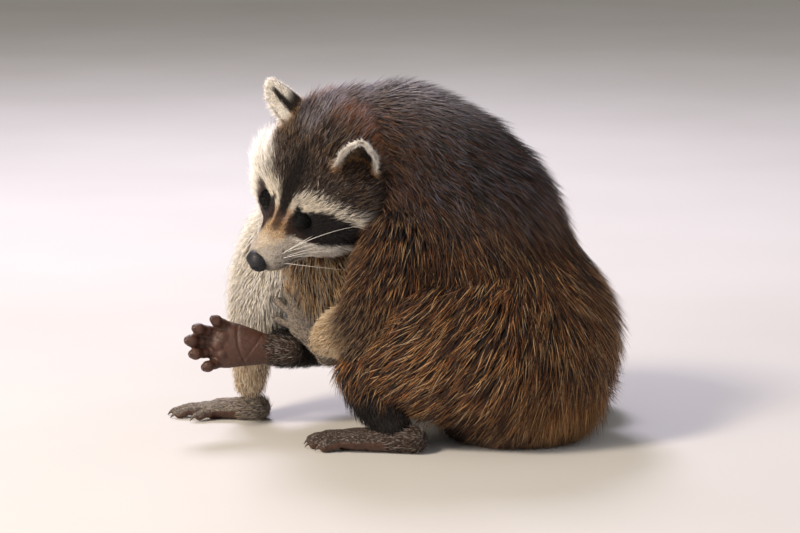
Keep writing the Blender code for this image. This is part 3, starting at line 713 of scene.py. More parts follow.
# ---------------------------------------------------------------- the head
@dataclass
class Head:
    """The head in its own frame, in centimetres: x to the nose, y to the animal's left, z to the crown.

    Attributes:
        place: where the animal stands.
        stations: x, top, bottom, half width and height of the widest place, of the outside of the coat.
        core: the place that the eye hollows are pressed towards.
        eye: centre of the left eye.
        eye_radius: radius of an eyeball.
    """

    place: Place
    stations: tuple[tuple[float, ...], ...] = (
        (9.15, -1.90, -3.60, 0.95, -2.65),
        (8.70, -1.40, -4.20, 1.45, -2.80),
        (7.80, -0.85, -4.65, 1.95, -2.95),
        (6.60, -0.20, -4.95, 2.25, -3.00),
        (5.50, 0.45, -5.25, 2.95, -2.95),
        (4.70, 1.25, -5.50, 4.10, -2.85),
        (3.90, 2.15, -5.80, 5.30, -2.65),
        (2.60, 3.20, -6.10, 6.40, -2.40),
        (0.80, 4.40, -6.45, 7.25, -2.00),
        (-1.20, 5.30, -6.60, 7.45, -1.60),
        (-3.20, 5.60, -6.30, 6.90, -1.10),
        (-4.90, 5.10, -5.50, 5.70, -0.70),
        (-6.10, 3.60, -3.90, 3.80, -0.50),
    )
    core: tuple[float, float, float] = (1.0, 0.0, -1.5)
    eye: tuple[float, float, float] = (4.45, 2.25, -0.15)
    eye_radius: float = 0.78

    def __post_init__(self) -> None:
        """Settles the head's frame."""
        self.frame = self.place.head()

    def depth(self, x: Array, side: Array) -> Array:
        """Depth of the coat: 1 mm on the muzzle, 4 on the forehead, 6 on the crown and 11 on the cheeks."""
        at = [-5, -1, 1, 2.6, 3.9, 4.7, 5.5, 6.6, 9.5]
        back = np.interp(x, at, [0.75, 0.62, 0.55, 0.45, 0.34, 0.24, 0.15, 0.10, 0.06])
        cheek = np.interp(x, [-5, -1, 1, 2.6, 4.7, 6.0], [0.95, 1.1, 1.15, 1.0, 0.35, 0.12])
        return back + (cheek - back) * ease(side, 0.35, -0.25)

    def surface(self, rings: int = 150, sides: int = 144) -> Surface:
        """The head's skin with its folds, in head centimetres.

        A ring at x holds (x, w * cos(a), level + h * sin(a)), with w and h the half width and the height there
        less the coat. Above the level the cosine is pinched to the power 1 to 1.5 in front. Hollows, brows,
        whisker pads and the mouth's groove then move it in or out by bells.
        """
        rows = through(self.stations, rings)
        turn = np.linspace(-math.pi, math.pi, sides, endpoint=False)
        side, lift = np.cos(turn)[None, :], np.sin(turn)[None, :]
        x = rows[:, :1] + 0 * side
        depth = self.depth(x, lift + 0 * x)
        top, bottom, wide, level = (rows[:, k : k + 1] for k in range(1, 5))
        height = np.maximum(np.where(lift > 0, top - level, level - bottom) - depth, 0.1)
        pinch = np.where(lift > 0, 1 + 0.5 * np.clip((rows[:, :1] - 1) / 3, 0, 1), 1.0)
        y = np.maximum(wide - depth, 0.1) * np.sign(side) * np.abs(side) ** pinch
        points = np.stack([x, y, level + height * lift], axis=2)
        points = self.sculpted(points.reshape(-1, 3)).reshape(points.shape)
        front = (rows[0, 0] + 0.1, 0, rows[0, 4])
        back = (rows[-1, 0] - 0.1, 0, rows[-1, 4])
        return shell(points, front, back)

    def sculpted(self, points: Array) -> Array:
        """The points with the face's hollows and swellings put in."""
        points = points.copy()
        core = np.array(self.core)
        for mirror in (1, -1):
            eye = np.array(self.eye) * (1, mirror, 1)
            ray = eye - core
            reach = np.linalg.norm(ray) + 0.60
            ray = unit(ray)
            out = points - core
            far = np.linalg.norm(out, axis=1)
            beside = np.linalg.norm(out - (out @ ray)[:, None] * ray, axis=1)
            press = bell(beside, 1.05) * (out @ ray > 0) * np.clip(far - reach, 0, None)
            points -= out * (press / far)[:, None]
            swellings = (
                ((4.15, 2.3, 1.05), 0.75, 0.10),
                ((5.0, 3.0, -1.35), 0.80, 0.12),
                ((8.0, 1.30, -2.70), 0.75, 0.12),
                ((7.4, 1.55, -3.95), 0.70, 0.06),
                ((3.2, 4.9, -2.8), 1.40, 0.15),
            )
            for centre, width, amount in swellings:
                away = np.linalg.norm(points - np.array(centre) * (1, mirror, 1), axis=1)
                points += unit(points - (4, 0, -2)) * (bell(away, width) * amount)[:, None]
        mouth = self.mouth_distance(points)
        points -= unit(points - (5, 0, -2.5)) * (bell(mouth, 0.13) * 0.16 * (points[:, 0] < 9.0))[:, None]
        furrow = bell(points[:, 1], 0.08) * ease(points[:, 0], 8.5, 8.9) * ease(points[:, 2], -2.9, -3.2)
        points -= unit(points - (6, 0, -2.5)) * (furrow * 0.12)[:, None]
        return points

    def mouth_distance(self, points: Array) -> Array:
        """How far places lie above or below the line of the closed mouth, large behind its corner."""
        line = np.interp(points[:, 0], [5.0, 5.8, 7.0, 8.1, 8.9], [-3.15, -3.55, -3.66, -3.60, -3.80])
        return np.abs(points[:, 2] - line) + 3 * ease(points[:, 0], 5.5, 4.9) + 3 * (np.abs(points[:, 1]) < 0.25)

    def lid(self, mirror: int, upper: bool) -> Surface:
        """One eyelid: a wall between two balls round the eye, swept about the line through its corners.

        A place is centre + r * (cos(c) * (cos(t) * ahead + sin(t) * above) + sin(c) * corner), with c across from
        corner to corner, and t from the lid's edge to behind the skin.
        """
        ahead = unit(np.array([0.80, 0.56 * mirror, -0.10]))
        corner = unit(np.array([-0.50, 0.78 * mirror, -0.16]))
        corner = unit(corner - corner @ ahead * ahead)
        above = np.cross(ahead, corner) * mirror
        above = above if above[2] > 0 else -above
        c = np.radians(np.linspace(-78, 78, 33))[:, None]
        droop = np.cos(c) ** 0.7
        edge = np.radians(-24 * droop - 3 if upper else -31 * droop + 4)
        far = math.radians(115 if upper else -115)
        s = np.linspace(0, 1, 14)[None, :]
        outer, inner = self.eye_radius * 1.13, self.eye_radius * 1.015
        t = edge + (far - edge) * s
        radius = outer - (outer - inner) * bell(s, 0.03) * 0.5 + 0.03 * np.sin(40 * s) * bell(s - 0.35, 0.2)
        turn = np.concatenate([t, t[:, ::-1]], axis=1)
        r = np.concatenate([radius + 0 * t, inner + 0 * t], axis=1)[..., None]
        flat = np.cos(turn)[..., None] * ahead + np.sin(turn)[..., None] * above
        ways = np.cos(c)[..., None] * flat + np.sin(c)[..., None] * corner
        places = np.array(self.eye) * (1, mirror, 1) + r * ways
        return shell(places, places[0].mean(axis=0), places[-1].mean(axis=0))

    def face_level(self, p: Array) -> tuple[Array, Array, Array]:
        """Distance from the face's middle line, and the mask's upper and lower edge there."""
        middle = 0.38 * ease(p[:, 0], 8.5, 6.2) * ease(p[:, 0], -1, 1.5)
        beside = np.abs(p[:, 1] - middle)
        upper = np.interp(beside, [0.9, 1.7, 2.8, 4.0, 5.3, 6.6], [0.40, 0.72, 0.74, 0.58, -0.3, -1.7])
        lower = np.interp(beside, [0.7, 1.5, 2.4, 3.3, 4.7, 6.6], [-0.85, -1.20, -1.90, -2.30, -2.35, -3.3])
        return beside, upper, lower

    def hues(self, p: Array, rng: np.random.Generator) -> Array:
        """Colours of hairs rooted at places in head centimetres: the black mask, pale brows, stripe and muzzle, with
        painted sheen of plum on the mask and of lilac and white on the crown's top edge.
        """
        count = len(p)
        p = p + 0.07 * rng.normal(size=p.shape)
        x, y, z = p.T
        beside, upper, lower = self.face_level(p)
        right = ease(y, -0.8, -1.6)
        coat = Dye(rng, count, Mix.CROWN)
        coat.lay(Mix.POLL, ease(x, -2.2, -4.4) * ease(z, 0.5, 2.5))
        coat.lay(Mix.GRIZZLED, 0.75 * (ease(x, -0.5, 2.0) * ease(z, 0.6, 1.6)))
        coat.lay(Mix.DARK, ease(beside, 1.8, 0.3) * ease(z, 4.6, 3.4) * ease(x, 0.0, 1.6) * 0.6)
        coat.lay(Mix.WHITE, ease(z, upper + 0.25, upper - 0.15) * ease(x, -4.8, -2.5))
        coat.lay(Mix.THROAT, ease(z, -3.8, -5.0) * ease(x, 6.5, 4.5) * 0.8)
        coat.lay(Mix.RUFF, ease(x, -2.4, -4.2) * ease(z, 1.5, -0.5))
        top = np.interp(beside, [0.5, 0.75, 1.6, 3.0, 4.4, 5.6, 7.2], [0.95, 1.50, 1.90, 1.65, 0.95, 0.0, -0.60])
        top = top + 0.30 * rng.normal(size=count)
        brow = ease(z, top + 0.15, top - 0.15) * ease(beside, 0.42, 0.58) * ease(z, upper - 0.1, upper + 0.1)
        brow = brow * ease(x, 0.2, 1.4)
        coat.lay(Mix.CREAM, brow)
        coat.lay(Mix.WHITE, brow * ease(beside, 3.2, 4.8) * (y < 0))
        temple = ease(y + 0.6 * rng.normal(size=count), -2.6, -4.2) * ease(x, -1.9, -0.8)
        temple = temple * ease(x, 3.3, 2.5) * ease(z, 3.1, 2.4)
        coat.lay(Mix.WHITE, temple * ease(z, upper - 0.1, upper + 0.2))
        coat.lay(Mix.GOLDEN, 0.8 * bell(np.linalg.norm(p - (-1.9, -3.3, 3.1), axis=1), 0.9))
        behind = self.behind_ear(p)
        coat.lay(Mix.DARK, 0.9 * behind)
        # painted sheen along the top edge of the crown, behind the eyes
        sheen_edge_share = ease(z, 4.3, 5.0) * ease(y, 0.6, -0.8) * ease(x, 1.6, 0.2)
        coat.lay(Mix.RIME, 0.85 * sheen_edge_share * (1 - behind))
        coat.lay(Mix.TAWNY, 0.75 * (ease(beside, 1.05, 0.85) * ease(z, 0.9, 0.45) * ease(x, 3.2, 4.2)))
        mask = ease(z, upper + 0.10, upper - 0.10) * ease(z, lower - 0.14, lower + 0.14)
        mask = mask * ease(beside - 0.35 * right + 0.2 * ease(z, 0.5, 0.0), 0.84, 1.02)
        mask = mask * ease(beside + 1.9 * right, 6.9, 6.3) * ease(x, 0.1, 0.8)
        notch = bell(beside - 1.42, 0.26 + 0.30 * np.clip(1.3 - z, 0, 1)) * ease(z, 1.35, 1.0)
        notch = notch * ease(z, 0.2, 0.5) * ease(x, 3, 4)
        coat.lay(Mix.BLACK, np.clip(mask + ease(notch, 0.4, 0.7), 0, 1))
        # painted sheen: plum tips on the mask, mostly on its right side and away from the eyes
        coat.lay(Mix.DUSKY, mask * (0.15 + 0.75 * right) * ease(self.eye_distance(p), 0.2, 0.6))
        coat.lay(Mix.RUDDY, 0.8 * mask * ease(z, lower + 0.75, lower + 0.15) * ease(x, 4.4, 5.2))
        stripe = ease(beside, 0.50, 0.36) * ease(z, -0.05, 0.30) * ease(x, -0.5, 1.0)
        wider = ease(beside, 0.55 + 0.25 * np.clip(z - 2, 0, 2), 0.3) * ease(z, 1.6, 2.2) * ease(x, -0.2, 1.2)
        coat.lay(Mix.DARK, np.maximum(stripe, wider))
        top = ease(x, 5.7, 6.3) * ease(z, -1.5, -0.9)
        coat.lay(Mix.PALE, ease(x, 5.4, 6.2) * ease(z, lower + 0.1, lower - 0.2))
        coat.lay(Mix.GOLDEN, np.clip(top * ease(beside, 1.5, 0.9), 0, 1))
        coat.lay(Mix.TAWNY, 0.7 * ease(x, 5.3, 5.7) * ease(x, 6.7, 5.9) * ease(beside, 0.9, 0.4) * ease(z, 0.1, -0.1))
        coat.lay(Mix.CREAM, 0.6 * top * ease(x, 6.6, 7.8) * ease(beside, 1.5, 1.0))
        keel = ease(beside, 0.46, 0.26) * ease(x, 5.0, 5.3) * ease(x, 6.9, 6.3)
        coat.lay(Mix.RUDDY, 0.85 * keel)
        corner = bell(beside - 1.05, 0.30) * ease(z, 0.5, 0.1) * ease(z, -1.5, -0.9)
        coat.lay(Mix.RUDDY, 0.8 * (corner * ease(x, 4.4, 4.9) * ease(x, 6.6, 5.9)))
        coat.lay(Mix.DARK, 0.85 * (bell(self.mouth_distance(p), 0.22) * (x > 5)))
        coat.lay(Mix.DARK, ease(x, 8.6, 9.0) * 0.8)
        pits = ease(np.sin(x * 8.5) * np.sin((z + 0.25 * x) * 10.0), 0.45, 0.8)
        pits = pits * ease(x, 6.0, 6.6) * ease(x, 8.6, 8.2) * ease(z, -1.7, -2.1) * ease(z, -3.5, -3.1)
        coat.lay(Mix.DARK, 0.9 * pits)
        return coat.hues

    def behind_ear(self, p: Array) -> Array:
        """How far places in head centimetres lie in the dark fluff behind the right ear."""
        return bell(np.linalg.norm(p - (-3.0, -2.5, 4.3), axis=1), 1.3)

    def growth(self, places: Array, normals: Array, rng: np.random.Generator) -> Growth:
        """The head's coat: velvet on the muzzle, running back round the eyes into crown and ruff."""
        p = seen_from(self.frame, places)
        count = len(p)
        x, z = p[:, 0], p[:, 2]
        beside, upper, _ = self.face_level(p)
        sign = np.sign(p[:, 1])
        lie = unit(p - (9.8, 0, -2.2))
        lie[:, 0] -= 0.45
        round_eye = bell(self.eye_distance(p), 1.5)
        lie[:, 1] += sign * (0.55 * round_eye + 0.35 * ease(beside, 3.0, 5.5))
        lie[:, 2] -= 0.75 * ease(z, 0.5, -2.5) * ease(x, 6.5, 3.0) + 0.25 * ease(z, -3.0, -4.5)
        lie += 0.10 * np.stack([ripple(p, 2.2, seed) for seed in (21, 22, 23)], axis=1)
        cheek = ease(z, 1.2, -1.2) * ease(x, 5.6, 2.5)
        length = np.interp(x, [-5, -2, 0.5, 2.5, 4.2, 5.5, 6.6, 8.0, 9.4], [24, 19, 15, 12, 8, 5.5, 4.5, 3.4, 2.2])
        length = length + cheek * np.interp(x, [-5, -1, 2.0, 3.5, 5.6], [8, 10, 9, 4, 0])
        chin = ease(z, -3.6, -4.4) * ease(x, 8.8, 6.0)
        length = length + 6 * chin * ease(x, 7.5, 5.0)
        temple = ease(p[:, 1], -2.7, -4.0) * ease(x, -2.4, -0.8) * ease(x, 3.6, 2.4) * ease(z, -0.5, 0.8)
        wisps = ease(p[:, 1], -3.0, -4.3) * ease(x, -1.5, 0.0) * ease(x, 4.6, 3.6)
        wisps = wisps * ease(z, -3.6, -2.4) * ease(z, 1.4, 0.6)
        foot = sum(bell(np.linalg.norm(p - (-1.2, y, 2.4), axis=1), 2.1) for y in (4.6, -3.9))
        behind = self.behind_ear(p)
        length = length * (1 + 0.15 * temple + 0.35 * wisps + 0.20 * behind)
        length = length * (1 - 0.55 * np.clip(foot - behind, 0, 1))
        lids = bell(self.eye_distance(p), 0.55)
        length = length * (1 - 0.62 * lids)
        top, bottom, _, level = self.section(x)
        across = (z - level) / np.where(z > level, top - level, level - bottom)
        lift = np.clip(10 * self.depth(x, across) / length, 0.15, 0.62) + 0.06 * cheek + 0.12 * temple
        lift = lift + 0.35 * wisps + 0.40 * behind
        fine = rng.random(count)
        width = np.interp(length, [2, 5, 12, 20, 32], [0.30, 0.38, 0.50, 0.62, 0.75]) * (0.8 + 0.7 * fine**3)
        scatter = rng.normal(size=(count, 3)) * np.interp(length, [3, 12, 25], [0.05, 0.12, 0.16])[:, None]
        turn = np.arctan2(p[:, 2] + 2, p[:, 1])
        unwrap = np.stack([(x + 6.6) / 16.6, 0.5 + turn / (2 * math.pi) * 0.98], axis=1)
        ways = sent_out(self.frame, unit(lie)) + scatter
        grown = length * rng.uniform(0.75, 1.15, count) * MM
        seen = p + unit(lie) * (0.055 * length)[:, None]
        hues = self.hues(seen, rng) * rng.uniform(0.86, 1.10, (1, count, 1))
        return Growth(ways, lift * rng.uniform(0.6, 1.4, count), grown, width * MM, hues, unwrap)

    def section(self, x: Array) -> list[Array]:
        """Top, bottom, half width and level of the outside of the coat at x."""
        rows = through(self.stations, 60)[::-1]
        return [np.interp(x, rows[:, 0], rows[:, k]) for k in range(1, 5)]

    def eye_distance(self, p: Array) -> Array:
        """Distance in centimetres from the surface of the nearer eyeball."""
        near = np.stack([p[:, 0], np.abs(p[:, 1]), p[:, 2]], axis=1) - np.array(self.eye)
        return np.abs(np.linalg.norm(near, axis=1) - self.eye_radius)

    def inside(self, places: Array, margin: float = 0.15) -> Array:
        """True where world places lie under the head's skin by more than margin centimetres."""
        p = seen_from(self.frame, places)
        top, bottom, wide, level = self.section(p[:, 0])
        height = np.where(p[:, 2] > level, top - level, level - bottom)
        out = (p[:, 1] / (wide - 1.1 - margin)) ** 2 + ((p[:, 2] - level) / (height - 0.9 - margin)) ** 2
        return (out < 1) & (p[:, 0] > -5.6) & (p[:, 0] < 9)


# ---------------------------------------------------------------- the ears
@dataclass
class Ear:
    """One ear: an arc across, carried up to a round tip.

    Attributes:
        head: the head that it stands on.
        mirror: 1 for the left ear, -1 for the right.
        base: middle of the ear's foot, in the head's frame.
        height: from foot to tip.
        lean: the way up the ear.
        facing: the way its hollow faces.
        width: half width at the foot.
        wall: thickness of the bare ear.
        round: power that rounds its tip, less for a sharper one.
        half_arc: half the angle that it is bent to.
    """

    head: Head
    mirror: int
    base: tuple[float, float, float]
    height: float
    lean: tuple[float, float, float]
    facing: tuple[float, float, float]
    width: float = 1.86
    wall: float = 0.22
    round: float = 2.6
    half_arc: float = math.radians(64)

    def __post_init__(self) -> None:
        """Settles the ear's directions."""
        self.up = unit(np.array(self.lean))
        facing = np.array(self.facing)
        self.ahead = unit(facing - self.up * (facing @ self.up))
        self.aside = np.cross(self.up, self.ahead)

    def half_width(self, v: Array, least: float = 0.0) -> Array:
        """Half width at a share up: width * (0.8 + 0.28 v - 0.1 v^2) * sqrt(1 - v^round)."""
        return self.width * (0.80 + 0.28 * v - 0.10 * v * v) * np.sqrt(np.clip(1 - np.abs(v) ** self.round, least, 1))

    def places(self, u: Array, v: Array, front: Array) -> Array:
        """Places at shares across (-1 to 1) and up (0 to 1), on the front or the back of the bent wall."""
        radius = self.half_width(v) / math.sin(self.half_arc)
        wall = self.wall * (0.45 + 0.55 * (1 - v)) * (1 - 0.5 * u * u) * np.where(front, 0.5, -0.5)
        s = radius * np.sin(self.half_arc * u)
        f = radius * (1 - np.cos(self.half_arc * u)) - 0.25 * radius + wall
        low = self.base + self.up * (self.height * v)[..., None]
        return low + self.aside * s[..., None] + self.ahead * f[..., None]

    def surface(self, across: int = 25, rows: int = 26) -> Surface:
        """The ear's closed wall, in the world."""
        v = 0.985 * np.sin(np.linspace(0, math.pi / 2, rows))[:, None]
        u = np.linspace(-1, 1, across)
        u = np.concatenate([u, u[::-1]])[None, :]
        front = np.arange(2 * across)[None, :] < across
        places = self.places(u + 0 * v, v + 0 * u, front & (v > -1))
        one = np.ones(1)
        start = self.places(0 * one, -0.04 * one, one < 0)[0]
        end = self.places(0 * one, 0.995 * one, one < 0)[0]
        return shell(places, start, end).moved(self.head.frame)

    def find(self, places: Array) -> tuple[Array, Array, Array]:
        """Share across, share up, and whether places lie on the front, of world places on the ear."""
        p = seen_from(self.head.frame, places) - self.base
        v = np.clip(p @ self.up / self.height, 0, 1)
        bent = np.clip((p @ self.aside) / self.half_width(v, 0.01) * math.sin(self.half_arc), -1, 1)
        u = np.clip(np.arcsin(bent) / self.half_arc, -1, 1)
        middle = self.places(u, v, v > 9) + self.ahead * (self.wall * 0.25) - self.base
        return u, v, ((p - middle) @ self.ahead) > 0

    def density(self, places: Array, normals: Array) -> Array:
        """Most hair on the back and the rim, less in the hollow."""
        u, v, front = self.find(places)
        rim = np.maximum(ease(np.abs(u), 0.70, 0.90), ease(v, 0.84, 0.95))
        edge = np.maximum(ease(np.abs(u), 0.85, 0.95), ease(v, 0.92, 0.97))
        return (np.where(front, 0.8 + 1.2 * rim, 0.8 + 1.0 * rim) + 1.5 * edge) * (v > 0.02)

    def growth(self, places: Array, normals: Array, rng: np.random.Generator) -> Growth:
        """Short dark hair inside and on the back, a white rim all round, and a tuft of long pale hair in front."""
        u, v, front = self.find(places)
        count = len(u)
        rim = np.maximum(ease(np.abs(u), 0.58, 0.80), ease(v, 0.76, 0.92))
        inner = -u * self.mirror
        lie = self.up + 1.4 * (u * rim)[:, None] * self.aside - 0.1 * np.where(front, rim, 0.5)[:, None] * self.ahead
        fluff = ease(inner, -0.35, 0.25) * ease(v, 0.95, 0.60) * front
        foot = front * ease(v, 0.36, 0.10)
        length = np.where(front, 3.2 + 3.4 * rim + 4.0 * fluff + 4.0 * foot, 5.8) - 1.8 * rim * (self.mirror < 0)
        lift = np.where(front, 0.50, 0.32)
        coat = Dye(rng, count, Mix.EAR)
        coat.lay(Mix.HOLLOW, front * ease(v, 0.05, 0.2))
        coat.lay(Mix.FLUFF, fluff)
        patch = ease(inner, 0.22, 0.08) * ease(inner, -0.75, -0.45) * ease(v, 0.40, 0.58)
        strip = ~front * np.maximum(ease(inner, 0.46, 0.60), patch)
        coat.lay(Mix.WHITE, np.maximum(rim, strip) * ease(v, 0.10, 0.24))
        coat.lay(Mix.EDGE, ease(v, 0.34, 0.16) * np.where(front, 0.6, 0.5 + 0.4 * ease(inner, -0.2, 0.5)))
        ways = sent_out(self.head.frame, unit(lie)) + 0.14 * rng.normal(size=(count, 3))
        width = np.interp(length, [3, 10], [0.34, 0.5]) * rng.uniform(0.8, 1.3, count)
        unwrap = np.stack([0.25 + 0.22 * u + 0.5 * front, 0.05 + 0.9 * v], axis=1)
        grown = length * rng.uniform(0.7, 1.15, count)
        return Growth(ways, lift * rng.uniform(0.6, 1.4, count), grown * MM, width * MM, coat.hues, unwrap)


# ---------------------------------------------------------------- the paws
class Limb(Enum):
    """Fore or hind paw."""

    FORE = "forepaw"
    HIND = "hindpaw"


class Curl(Enum):
    """How far, in degrees, a digit bends down at each of its joints."""

    FLAT = (4, 6, 8)
    RESTING = (14, 22, 20)
    HOLDING = (12, 16, 14)


FORE_DIGITS = (
    (1.9, 1.25, 36, 2.1, 0.40),
    (3.0, 0.85, 13, 2.9, 0.42),
    (3.3, 0.22, 2, 3.2, 0.43),
    (3.1, -0.45, -9, 3.0, 0.42),
    (2.4, -1.10, -24, 2.4, 0.40),
)
HIND_DIGITS = (
    (4.6, 1.70, 24, 1.9, 0.56),
    (5.7, 1.10, 9, 2.3, 0.58),
    (6.1, 0.25, 0, 2.5, 0.60),
    (5.8, -0.65, -9, 2.3, 0.58),
    (4.9, -1.45, -21, 2.0, 0.56),
)
PHALANGES = (0.46, 0.30, 0.24)


@dataclass
class Paw:
    """A paw in its own frame, in centimetres: x to the toes, z to the back of the paw.

    Attributes:
        side: "left" or "right".
        limb: fore or hind.
        inside: 1 where the thumb lies towards +y.
        curl: how the digits bend.
        frame: matrix from the paw's frame to the world.
        slim: how much thinner the skin is than its solid, in centimetres.
    """

    side: str
    limb: Limb
    inside: int
    curl: Curl
    frame: Matrix
    slim: float = 0.035

    @property
    def name(self) -> str:
        """The paw's node in the frame."""
        return f"{self.limb.value}_{self.side}"

    @property
    def digits(self) -> tuple[tuple[float, ...], ...]:
        """Base x, base y towards the thumb, heading in degrees, length and radius of each digit."""
        return FORE_DIGITS if self.limb is Limb.FORE else HIND_DIGITS

    def digit(self, digit: tuple[float, ...]) -> tuple[Array, Array, Array]:
        """Joints of a digit from inside the palm to its tip, with the directions ahead and above at the tip."""
        x, y, heading, length, _ = digit
        angle = math.radians(heading) * self.inside
        out = np.array([math.cos(angle), math.sin(angle), 0])
        place = np.array([x, y * self.inside, 0.0])
        path, pitch = [place - out, place], 0.0
        for share, bend in zip(PHALANGES, self.curl.value):
            pitch += math.radians(bend)
            place = place + (out * math.cos(pitch) - np.array([0, 0, math.sin(pitch)])) * (length * share)
            path.append(place)
        above = out * math.sin(pitch) + np.array([0, 0, math.cos(pitch)])
        return np.array(path), out * math.cos(pitch) - np.array([0, 0, math.sin(pitch)]), above

    def palm(self) -> tuple[tuple[float, ...], ...]:
        """Stations of the palm or sole."""
        if self.limb is Limb.FORE:
            return (
                (-1.6, 0, 0.15, 1.2, 1.15),
                (0.6, 0, 0, 1.42, 0.95),
                (2.2, 0, 0, 1.72, 0.80),
                (3.1, 0, -0.05, 1.32, 0.55),
            )
        y = 0.1 * self.inside
        return (
            (-1.2, 0, 0.25, 1.10, 1.12),
            (1.2, 0, 0.1, 1.42, 1.07),
            (3.4, y, 0, 1.92, 0.97),
            (4.9, y, 0, 2.12, 0.82),
            (5.7, y, -0.05, 1.47, 0.57),
        )

    def skin(self) -> Surface:
        """Palm, digits and pads melted together in the world, with the creases of the joints pressed in."""
        parts = [tube(np.array(self.palm()), np.array([0, 1, 0]), 24, 24)]
        for digit in self.digits:
            path, ahead, above = self.digit(digit)
            radius = digit[4] - self.slim
            stations = np.column_stack([path, np.outer((1.0, 1.0, 0.88, 0.92, 0.78), (radius, radius))])
            angle = math.radians(digit[2]) * self.inside
            parts.append(tube(stations, np.array([-math.sin(angle), math.cos(angle), 0]), 30, 18))
            for joint, size in ((path[2], 0.95), (path[3], 0.90), (path[4] - ahead * 0.22, 1.05)):
                parts.append(ball(joint - above * 0.20, (radius * 1.05, radius * size, radius * 0.92)))
        x = 2.5 if self.limb is Limb.FORE else 5.0
        for ahead, y, r in ((x, 0.75, 0.62), (x + 0.35, 0.0, 0.66), (x - 0.05, -0.75, 0.60), (x - 1.3, 0.0, 0.85)):
            parts.append(ball((ahead, y * self.inside, -0.42), (r * 1.08, r, 0.52)))
        skin = melted(parts, 0.115, 3)
        p = skin.points
        if self.limb is Limb.HIND:
            crease = np.abs(p[:, 0] - 3.55 - 0.35 * p[:, 1] * self.inside + 0.12 * p[:, 1] ** 2)
            fold = np.abs(p[:, 0] - 2.3 + 0.6 * p[:, 1] * self.inside)
            sunk = 0.10 * bell(crease, 0.10) + 0.06 * bell(fold, 0.09)
            p[:, 2] += sunk * ease(p[:, 2], -0.2, -0.6)
        return skin.moved(self.frame).on_floor()

    def claws(self) -> Surface:
        """All five claws: tapering, flattened and curved down, oval rings along centre - above * 0.42 s^2."""
        parts = []
        for digit in self.digits:
            path, ahead, above = self.digit(digit)
            s = np.linspace(0, 0.97, 12)
            start = path[-1] + above * 0.16 - ahead * 0.25
            centre = start + np.outer(1.05 * s, ahead) - np.outer(0.42 * s * s, above)
            wide = 0.16 * (1 - s**1.6) + 0.012
            stations = np.column_stack([centre, 0.72 * wide, 1.15 * wide])
            parts.append(tube(stations, np.cross(above, ahead), 16, 12))
        return joined(parts).moved(self.frame).on_floor()

    def axis(self, k: int) -> Array:
        """World direction of the paw frame's x, y or z."""
        return np.array(self.frame)[:3, k] / CM

    def bare(self, places: Array, normals: Array) -> Array:
        """How far the skin is bare leather at world places: on palms, soles and the undersides of digits."""
        under = -normals @ self.axis(2)
        p = seen_from(self.frame, places)
        heel = 0.4 if self.limb is Limb.HIND else -0.8
        heel += 0.30 * np.sin(2.3 * p[:, 1] + 0.7) + 0.16 * np.sin(6.1 * p[:, 1]) + 0.25 * p[:, 1] ** 2 / 2.0
        return ease(under, -0.30, 0.10) * ease(p[:, 0], heel, heel + 1.0)

    def covered(self, places: Array, normals: Array) -> Array:
        """True where hair grows."""
        return 1 - self.bare(places, normals) > 0.75

    def hues(self, places: Array, rng: np.random.Generator) -> Array:
        """Colours of the short hair on the back of the paw."""
        return (Mix.HAND if self.limb is Limb.FORE else Mix.FOOT).drawn(rng, len(places))

    def growth(self, places: Array, normals: Array, rng: np.random.Generator) -> Growth:
        """Short hair lying towards the toes, near black on the facing sides of the digits as painted shade between
        them.
        """
        count = len(places)
        p = seen_from(self.frame, places)
        x = p[:, 0]
        length = np.interp(x, [-1.5, 1, 3, 6, 9], [9, 6, 3.6, 2.8, 2.2]) * rng.uniform(0.7, 1.2, count)
        ways = self.axis(0) + 0.12 * rng.normal(size=(count, 3))
        lift = 0.24 * rng.uniform(0.6, 1.4, count)
        unwrap = np.stack([0.05 + 0.9 * (x + 2) / 12, 0.5 + p[:, 1] / 8], axis=1)
        width = 0.00042 * rng.uniform(0.8, 1.3, count)
        # painted shade: hair on the sides of the digits that face each other is made near black
        dark = Mix.TOES.drawn(rng, count)
        between = ease(normals @ self.axis(2), 0.72, 0.35) * ease(x, 1.5, 3.0)
        hues = blend(self.hues(places, rng), dark, between)
        return Growth(ways, lift, length * MM, width, hues, unwrap)


def all_paws(place: Place) -> list[Paw]:
    """The four paws: right hand and left foot flat, left hand on the chest, right foot held up sole outwards."""
    flat_hand = turned_frame(place.body(0.146, 0.026, 0.0088), body_way(1, 0.10, 0), (0, 0, 1))
    held_hand = turned_frame(place.body(0.060, 0.043, 0.083), (-0.66, 0.23, 0.72), (-0.10, -0.97, 0.22))
    flat_foot = turned_frame(place.body(-0.040, 0.104, 0.0092), body_way(1, 0.06, 0), (0, 0, 1))
    held = np.array([-0.111, 0.006, 0.073]) + place.shift
    held_foot = turned_frame(held, (-0.98, -0.08, 0.10), (0.05, 0.98, -0.16))
    return [
        Paw("right", Limb.FORE, 1, Curl.FLAT, flat_hand),
        Paw("left", Limb.FORE, -1, Curl.HOLDING, held_hand),
        Paw("left", Limb.HIND, -1, Curl.FLAT, flat_foot),
        Paw("right", Limb.HIND, 1, Curl.RESTING, held_foot),
    ]


